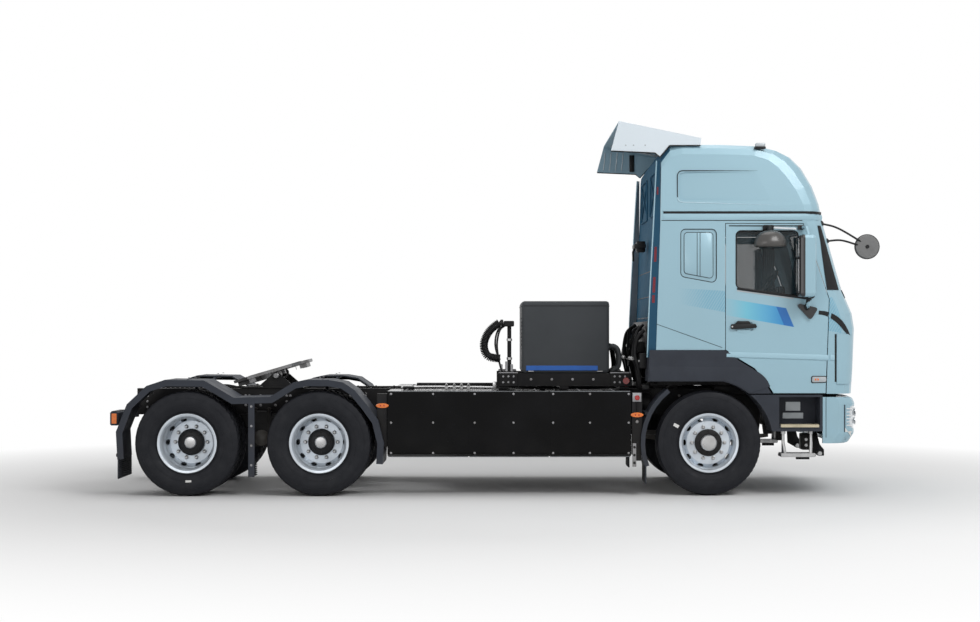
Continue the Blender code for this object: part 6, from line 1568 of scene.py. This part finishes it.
# Drive motor: cooling ribs, end covers, cables; axles: brake chambers, shock absorbers, bolts
bm = bmesh.new()
for k in range(14):
    x = -0.49 + 0.056 * k
    for side in (1, -1):
        box(bm, (x, x + 0.012), span(side, 0.298, 0.318), (0.55, 0.91), 0.002, 1)
    box(bm, (x, x + 0.012), (-0.26, 0.26), (0.482, 0.503), 0.002, 1)
for x in (-0.556, 0.352):
    turn(bm, [(0, -0.008), (0.215, -0.008), (0.22, 0), (0.215, 0.008), (0, 0.008)], (x, 0, 0.73), (1, 0, 0),
         40)
    bolts(bm, [(x + (0.008 if x > 0 else -0.008), 0.19 * math.cos(math.tau * k / 10),
                0.73 + 0.19 * math.sin(math.tau * k / 10)) for k in range(10)], (1 if x > 0 else -1, 0, 0),
          0.011, 0.009)
for y in (-0.10, 0.0, 0.10):
    rod(bm, curve_through([(0.10, y, 0.955), (0.14, y, 1.01), (0.24, y, 1.04), (0.42, y, 1.05),
                           (0.52, y, 1.10)], 6), 0.018, 10, 1)
shape("motor_ribs", bm, [motor_metal, hose_black], "chassis")
bm = bmesh.new()
for side in (1, -1):
    for x in (MID_X, REAR_X):
        back = -1 if x == REAR_X else 1
        turn(bm, [(0, -0.08), (0.055, -0.08), (0.072, -0.065), (0.072, -0.008), (0.078, -0.006),
                  (0.078, 0.006), (0.072, 0.008), (0.066, 0.085), (0.050, 0.105), (0, 0.105)],
             (x + back * 0.20, side * 0.46, 0.555), (1, 0, 0), 24)
        rod(bm, [(x + back * 0.12, side * 0.46, 0.555), (x + back * 0.02, side * 0.52, 0.552)], 0.014, 8, 1)
        rod(bm, curve_through([(x + back * 0.28, side * 0.46, 0.60), (x + back * 0.30, side * 0.40, 0.74),
                               (x + back * 0.24, side * 0.33, 0.90)], 6), 0.010, 8, 2)
    turn(bm, [(0, -0.07), (0.060, -0.07), (0.068, -0.05), (0.068, 0.05), (0.055, 0.08), (0, 0.08)],
         (2.02, side * 0.60, 0.50), (1, 0, 0.15), 24)
    rod(bm, [(2.02, side * 0.60, 0.50), (2.13, side * 0.64, 0.50)], 0.012, 8, 1)
    rod(bm, [(2.44, side * 0.55, 0.50), (2.62, side * 0.50, 0.92)], 0.030, 14)
    rod(bm, [(2.40, side * 0.555, 0.42), (2.52, side * 0.53, 0.68)], 0.022, 14, 1)
shape("brake_parts", bm, [black_steel, motor_metal, hose_black], "chassis")
bm = bmesh.new()
for x in (MID_X, REAR_X):
    turn(bm, [(0.186, -0.012), (0.212, -0.012), (0.212, 0.0), (0.186, 0.0)], (x + 0.058, 0, 0.54), (1, 0, 0),
         40)
    bolts(bm, [(x + 0.060, 0.196 * math.cos(math.tau * k / 14), 0.54 + 0.196 * math.sin(math.tau * k / 14))
               for k in range(14)], (1, 0, 0), 0.010, 0.012)
for side in (1, -1):
    for x in (2.105, 2.245):
        rod(bm, [(x, side * 0.378, 0.66), (x, side * 0.378, 0.40)], 0.009, 8)
        rod(bm, [(x, side * 0.472, 0.66), (x, side * 0.472, 0.40)], 0.009, 8)
        bolts(bm, [(x, side * 0.378, 0.40), (x, side * 0.472, 0.40)], (0, 0, -1), 0.016, 0.016)
    for x in (-2.575, -2.425):
        for y in (0.462, 0.568):
            rod(bm, [(x, side * y, 0.86), (x, side * y, 0.55)], 0.010, 8)
            bolts(bm, [(x, side * y, 0.86)], (0, 0, 1), 0.017, 0.018)
    turn(bm, [(0, 0.0), (0.085, 0.0), (0.085, 0.02), (0.055, 0.030), (0, 0.032)], (-2.5, side * 0.555, 0.56),
         (0, side, 0), 28)
shape("clamp_bolts", bm, cast_iron, "chassis")

# Fifth wheel: throat lining, grease grooves, pivot pins, release handle
tilt = Matrix.Translation((-2.37, 0, 1.215)) @ Matrix.Rotation(math.radians(-16.3), 4, "Y")
bm = bmesh.new()
for side in (1, -1):
    for y, bend in ((0.30, 0.02), (0.20, -0.02)):
        rod(bm, [tilt @ Vector((-0.30 + 0.58 * k / 8, side * (y + bend * math.sin(k * 0.8)), 0.0755))
                 for k in range(9)], 0.004, 6, 1)
    for x in (-0.20, 0.0, 0.20):
        turn(bm, [(0, 0), (0.018, 0), (0.018, 0.003), (0, 0.003)], tilt @ Vector((x, side * 0.385, 0.0745)),
             tilt.to_3x3() @ Vector((0, 0, 1)), 16)
rod(bm, [tilt @ Vector((0.26, 0.20, 0.036)), tilt @ Vector((0.26, 0.44, 0.036)),
         tilt @ Vector((0.25, 0.52, 0.045)), tilt @ Vector((0.22, 0.56, 0.045))], 0.010)
shape("coupling_trim", bm, [machined, hose_black], "fifth_wheel")
bm = bmesh.new()
for side in (1, -1):
    turn(bm, [(0, 0), (0.034, 0), (0.034, 0.014), (0.026, 0.020), (0, 0.020)], (-2.37, side * 0.386, 1.215),
         (0, side, 0), 20)
    for x in (-2.68, -2.52, -2.22, -2.12):
        bolts(bm, [(x, side * 0.41, 1.094)], (0, 0, 1), 0.013, 0.012)
shape("coupling_pins", bm, machined, "chassis")

# Deck behind the cab: tread plate edges and front crossmember fittings
bm = bmesh.new()
for k in range(12):
    bolts(bm, [(-3.70 + 0.05 * k, side * 0.385, 1.0802) for side in (1, -1)], (0, 0, 1), 0.008, 0.006)
for side in (1, -1):
    for x in (-1.55, -1.35, -1.15, -0.9):
        bolts(bm, [(x, side * 0.385, 1.0802)], (0, 0, 1), 0.009, 0.007)
box(bm, (-3.865, -3.851), (-0.16, 0.16), (0.86, 1.02), 0.004, 2, 1)
turn(bm, [(0, 0), (0.05, 0), (0.05, 0.03), (0.03, 0.04), (0.03, 0.07), (0, 0.07)], (-3.862, 0, 0.94),
     (-1, 0, 0), 24, 1)
shape("rail_top_bolts", bm, [motor_metal, black_steel], "chassis")

# Small white marks on two tyres
for name, wheel, x, y, angle in (("front_right", "wheel_front_right", FRONT_X, -FRONT_Y, 152.0),
                                 ("rear_right", "wheel_rear_right", REAR_X, -TWIN_Y - TWIN_SPACING / 2,
                                  273.0)):
    bm = bmesh.new()
    reach = 0.385
    spin = Matrix.Translation((x, y, AXLE_Z)) @ Matrix.Rotation(-math.radians(angle), 4, "Y")
    long, wide = (0.028, 0.016) if angle < 180 else (0.011, 0.030)
    box(bm, (reach - long, reach + long), (-0.1515, -0.1475), (-wide, wide), 0.001, 1, 0, spin)
    shape("tyre_mark_" + name, bm, white_mark, wheel)

# Inside the cab: dashboard faces, steering wheel rim, curtains, headliner
bm = bmesh.new()
hub = Vector((3.06, 0.62, 2.19))
turned = Matrix.Translation(hub) @ Matrix.Rotation(math.radians(-58), 4, "Y")
part = bmesh.new()
turn(part, [(0.215 + 0.0175 * math.cos(math.tau * k / 12), 0.0175 * math.sin(math.tau * k / 12))
            for k in range(12)], (0, 0, 0), (0, 0, 1), 48)
for k in range(3):
    angle = math.tau * k / 3 + math.pi / 2
    rod(part, [(0.03 * math.cos(angle), 0.03 * math.sin(angle), 0.0),
               (0.21 * math.cos(angle), 0.21 * math.sin(angle), 0.002)], 0.014, 8)
turn(part, [(0, -0.032), (0.06, -0.032), (0.066, -0.01), (0.058, 0.018), (0.03, 0.024), (0, 0.024)],
     (0, 0, 0), (0, 0, 1), 28)
place_in(bm, part, turned, 0)
for k in range(3):
    box(bm, (3.150, 3.175), (-0.50 + 0.30 * k, -0.26 + 0.30 * k), (2.055, 2.088), 0.010)
slab(bm, round_corners([(0.40, 2.06), (0.86, 2.06), (0.82, 2.20), (0.44, 2.20)], 0.04, 5), "X", 3.20, 3.235,
     0.006)
for y in (0.54, 0.72):
    turn(bm, [(0, 0), (0.058, 0), (0.058, 0.008), (0, 0.008)], (3.202, y, 2.13), (-1, 0, 0), 28, 1)
box(bm, (3.115, 3.14), (-0.16, 0.22), (1.98, 2.035), 0.004, 2, 1)
rod(bm, [(3.0, 0.20, 1.50), (2.98, 0.20, 1.75), (2.93, 0.20, 1.86)], 0.016)
shape("dash_details", bm, [black_plastic, bright_steel], "cab")
curtain_cloth = (Look("curtain_cloth", srgb(112, 112, 116), 0.9).mottle(6.0, srgb(96, 96, 100), 0.5)
                 .grain(900.0, 0.0004, 0.6).rough(8.0, 0.05).done())
bm = bmesh.new()
for side in (1, -1):
    for k in range(6):
        x = 3.085 + 0.022 * k
        rod(bm, [(x, side * 0.98, 2.66), (x + 0.004, side * 0.985, 2.5), (x - 0.003, side * 0.98, 2.3),
                 (x + 0.02, side * 0.98, 2.14)], 0.014, 8)
    rod(bm, [(3.06, side * 0.98, 2.70), (3.22, side * 0.98, 2.70)], 0.008, 8)
shape("curtains", bm, curtain_cloth, "cab", 80)
bm = bmesh.new()
box(bm, (1.85, 3.02), (-1.10, 1.10), (2.845, 2.875), 0.01)
box(bm, (2.93, 3.10), (-0.95, 0.95), (2.79, 2.85), 0.02, 3)
shape("headliner", bm, Look("headliner", srgb(150, 150, 152), 0.9).mottle(6.0, srgb(134, 134, 136), 0.5)
      .grain(700.0, 0.0004, 0.6).rough(8.0, 0.05).done(), "cab")

# Seats and bunk as soft goods
PUFF_FRAMES = 12
PUFF_REACH = 0.014
fabric = (Look("seat_fabric", srgb(78, 80, 86), 0.88).mottle(7.0, srgb(66, 68, 74), 0.5)
          .grain(1400.0, 0.0005, 0.8).rough(8.0, 0.05).done())
quilt = (Look("quilt", srgb(96, 98, 104), 0.9).mottle(5.0, srgb(82, 84, 90), 0.5).grain(1200.0, 0.0005, 0.8)
         .rough(8.0, 0.05).done())


def crowned(size, crown, channels=0, along=0, cells=(26, 26)):
    """A crowned cushion about its middle, pulled in at its sides, with sewn channels; top faces +Z."""
    bm = bmesh.new()
    bmesh.ops.create_grid(bm, x_segments=cells[0], y_segments=cells[1], size=0.5)
    top = {}
    for v in bm.verts:
        top[v] = v.co.copy()
    lower = {}
    for v, co in list(top.items()):
        lower[v] = bm.verts.new((co.x, co.y, 0))
    for f in list(bm.faces):
        bm.faces.new([lower[v] for v in f.verts][::-1])
    for e in [e for e in bm.edges if len(e.link_faces) == 1 and e.verts[0] in lower]:
        a, b = e.verts
        bm.faces.new((a, b, lower[b], lower[a]))
    for v, co in top.items():
        u, w = co.x * 2, co.y * 2
        round_off = (1 - abs(u) ** 6) * (1 - abs(w) ** 6)
        lift = crown * (1 - u * u) * (1 - w * w) + size[2] / 2 * (0.55 + 0.45 * min(1.0, round_off * 3))
        if channels:
            share = (co.y if along else co.x) + 0.5
            near = abs(share * channels - round(share * channels))
            if 0 < round(share * channels) < channels:
                lift -= 0.007 * max(0.0, 1 - near / 0.10)
        pull = 1 - 0.020 * (1 - u * u if abs(w) > 0.99 else 0)
        side = 1 - 0.020 * (1 - w * w if abs(u) > 0.99 else 0)
        v.co = Vector((co.x * size[0] * side, co.y * size[1] * pull, lift))
        low = lower[v]
        low.co = Vector((v.co.x, v.co.y, -size[2] / 2 * (0.6 + 0.4 * min(1.0, round_off * 3))))
    bmesh.ops.bevel(bm, geom=[e for e in bm.edges if e.calc_face_angle(0) > 0.9], offset=0.012, segments=3,
                    profile=0.5, affect="EDGES", clamp_overlap=True)
    bmesh.ops.recalc_face_normals(bm, faces=bm.faces)
    return bm


def puffed(item, fill):
    """Fill a sewn cushion with air by cloth simulation, and keep each point within reach of its form."""
    mesh = item.data
    before = [v.co.copy() for v in mesh.vertices]
    cloth = item.modifiers.new("cloth", "CLOTH")
    cloth.settings.quality = 5
    cloth.settings.use_pressure = True
    cloth.settings.uniform_pressure_force = fill
    cloth.settings.tension_stiffness = 30
    cloth.settings.compression_stiffness = 30
    cloth.settings.bending_stiffness = 4
    cloth.settings.effector_weights.gravity = 0
    scene = bpy.context.scene
    for number in range(1, PUFF_FRAMES + 1):
        scene.frame_set(number)
    graph = bpy.context.evaluated_depsgraph_get()
    result = bpy.data.meshes.new_from_object(item.evaluated_get(graph))
    after = [v.co.copy() for v in result.vertices]
    bpy.data.meshes.remove(result)
    item.modifiers.remove(cloth)
    scene.frame_set(1)
    for v, old, new in zip(mesh.vertices, before, after):
        shift = new - old
        if shift.length > PUFF_REACH:
            shift = shift.normalized() * PUFF_REACH
        v.co = old + shift


def soft(name, size, crown, matrix, material, channels=0, along=0, cells=(26, 26)):
    bm = crowned(size, crown, channels, along, cells)
    bmesh.ops.transform(bm, matrix=matrix, verts=bm.verts)
    item = shape(name, bm, material, "cab", 70)
    puffed(item, 3.0)
    return item


def turned_at(x, y, z, degrees, axis="Y"):
    return Matrix.Translation((x, y, z)) @ Matrix.Rotation(math.radians(degrees), 4, axis)


for word, side in SIDES:
    y = side * 0.61
    lean = Matrix.Translation((2.39, y, 1.93)) @ Matrix.Rotation(math.radians(-8), 4, "Y")
    cushion = soft("cushion_" + word, (0.42, 0.46, 0.10), 0.016, turned_at(2.645, y, 1.925, 0), fabric, 4, 1)
    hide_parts("seat_" + word)
    soft("backrest_" + word, (0.60, 0.45, 0.095), 0.016, lean @ Matrix.Translation((0.0, 0, 0.345))
         @ Matrix.Rotation(math.radians(-90), 4, "Y") @ Matrix.Rotation(math.radians(180), 4, "X"), fabric, 5,
         0)
    soft("headrest_" + word, (0.17, 0.25, 0.07), 0.012, lean @ Matrix.Translation((-0.035, 0, 0.735))
         @ Matrix.Rotation(math.radians(-90), 4, "Y") @ Matrix.Rotation(math.radians(180), 4, "X"), fabric)
    bm = bmesh.new()
    box(bm, (2.47, 2.83), (y - 0.18, y + 0.18), (1.499, 1.60), 0.015)
    for k in range(5):
        box(bm, (2.50 - 0.006 * (k % 2), 2.80 + 0.006 * (k % 2)), (y - 0.15, y + 0.15),
            (1.60 + 0.045 * k, 1.645 + 0.045 * k), 0.010)
    box(bm, (2.43, 2.86), (y - 0.215, y + 0.215), (1.825, 1.868), 0.012)
    for s in (-0.235, 0.235):
        box(bm, (2.36, 2.46), (y + s - 0.012, y + s + 0.012), (1.84, 2.02), 0.010)
    for s in (-0.06, 0.06):
        rod(bm, [tuple(lean @ Vector((-0.02, s, 0.60))), tuple(lean @ Vector((-0.03, s, 0.70)))], 0.007, 8, 1)
    shape("seat_base_" + word, bm, [black_plastic, bright_steel], "cab")
mattress = soft("mattress", (0.50, 2.12, 0.13), 0.014, turned_at(1.985, 0, 1.895, 0), quilt, 9, 1, (20, 60))
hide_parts("bunk")
bm = bmesh.new()
box(bm, (1.74, 2.235), (-1.075, 1.075), (1.499, 1.805), 0.02)
for y in (-0.53, 0.53):
    box(bm, (2.232, 2.2395), (y - 0.45, y + 0.45), (1.54, 1.78), 0.006)
    box(bm, (2.238, 2.2465), (y - 0.06, y + 0.06), (1.72, 1.74), 0.003, 1)
shape("bunk_base", bm, cabin_trim, "cab")
soft("pillow", (0.30, 0.50, 0.07), 0.020, turned_at(1.95, 0.76, 2.005, 0), curtain_cloth)

# Stage

floor_bm = bmesh.new()
box(floor_bm, (-60, 60), (-60, 60), (-0.02, -0.0005), 0)
floor_look = Look("floor", (0.86, 0.86, 0.86), 0.7).mottle(0.7, (0.845, 0.845, 0.845), 0.5)
floor_material = floor_look.done()
floor_look.shader.inputs["Specular IOR Level"].default_value = 0.1
far = floor_look.add("ShaderNodeVectorMath", floor_look.place, operation="LENGTH").outputs["Value"]
paths = floor_look.tree.nodes.new("ShaderNodeLightPath")
seen_straight = floor_look.maths("MAXIMUM", paths.outputs["Is Camera Ray"], paths.outputs["Is Glossy Ray"])
fade = floor_look.maths("MULTIPLY", floor_look.ramp(far, 4.6, 9.0), seen_straight)
white = floor_look.tree.nodes.new("ShaderNodeEmission")
blend = floor_look.tree.nodes.new("ShaderNodeMixShader")
floor_look.tree.links.new(fade, blend.inputs[0])
floor_look.tree.links.new(floor_look.shader.outputs[0], blend.inputs[1])
floor_look.tree.links.new(white.outputs[0], blend.inputs[2])
floor_look.tree.links.new(blend.outputs[0], floor_look.tree.nodes["Material Output"].inputs["Surface"])
floor = shape("floor", floor_bm, floor_material, "chassis", smooth=False)
world = bpy.data.worlds.new("world")
bpy.context.scene.world = world
world.use_nodes = True
tree = world.node_tree
background = tree.nodes["Background"]
rays = tree.nodes.new("ShaderNodeLightPath")
seen = tree.nodes.new("ShaderNodeMath")
seen.operation = "MAXIMUM"
tree.links.new(rays.outputs["Is Camera Ray"], seen.inputs[0])
tree.links.new(rays.outputs["Is Transmission Ray"], seen.inputs[1])
shown = tree.nodes.new("ShaderNodeMath")
shown.operation = "MAXIMUM"
tree.links.new(seen.outputs[0], shown.inputs[0])
tree.links.new(rays.outputs["Is Glossy Ray"], shown.inputs[1])
strength = tree.nodes.new("ShaderNodeMapRange")
tree.links.new(shown.outputs[0], strength.inputs["Value"])
strength.inputs["To Min"].default_value = 0.40
strength.inputs["To Max"].default_value = 1.0
tree.links.new(strength.outputs[0], background.inputs["Strength"])
background.inputs["Color"].default_value = (1, 1, 1, 1)


def lamp(name, spot, aim, size, power):
    light = bpy.data.lights.new(name, "AREA")
    light.shape = "RECTANGLE"
    light.size, light.size_y = size
    light.energy = power
    item = bpy.data.objects.new(name, light)
    item.location = spot
    item.rotation_euler = (Vector(aim) - Vector(spot)).to_track_quat("-Z", "Y").to_euler()
    bpy.context.scene.collection.objects.link(item)


lamp("key", (7.0, -9.0, 9.0), (0, 0, 1.2), (6, 4), 600)
lamp("fill", (-4.0, -12.0, 4.0), (0, 0, 1.0), (6, 4), 170)
lamp("top", (1.0, 1.0, 11.0), (0, 0, 1.0), (10, 6), 330)

bpy.context.scene.view_settings.view_transform = "Standard"
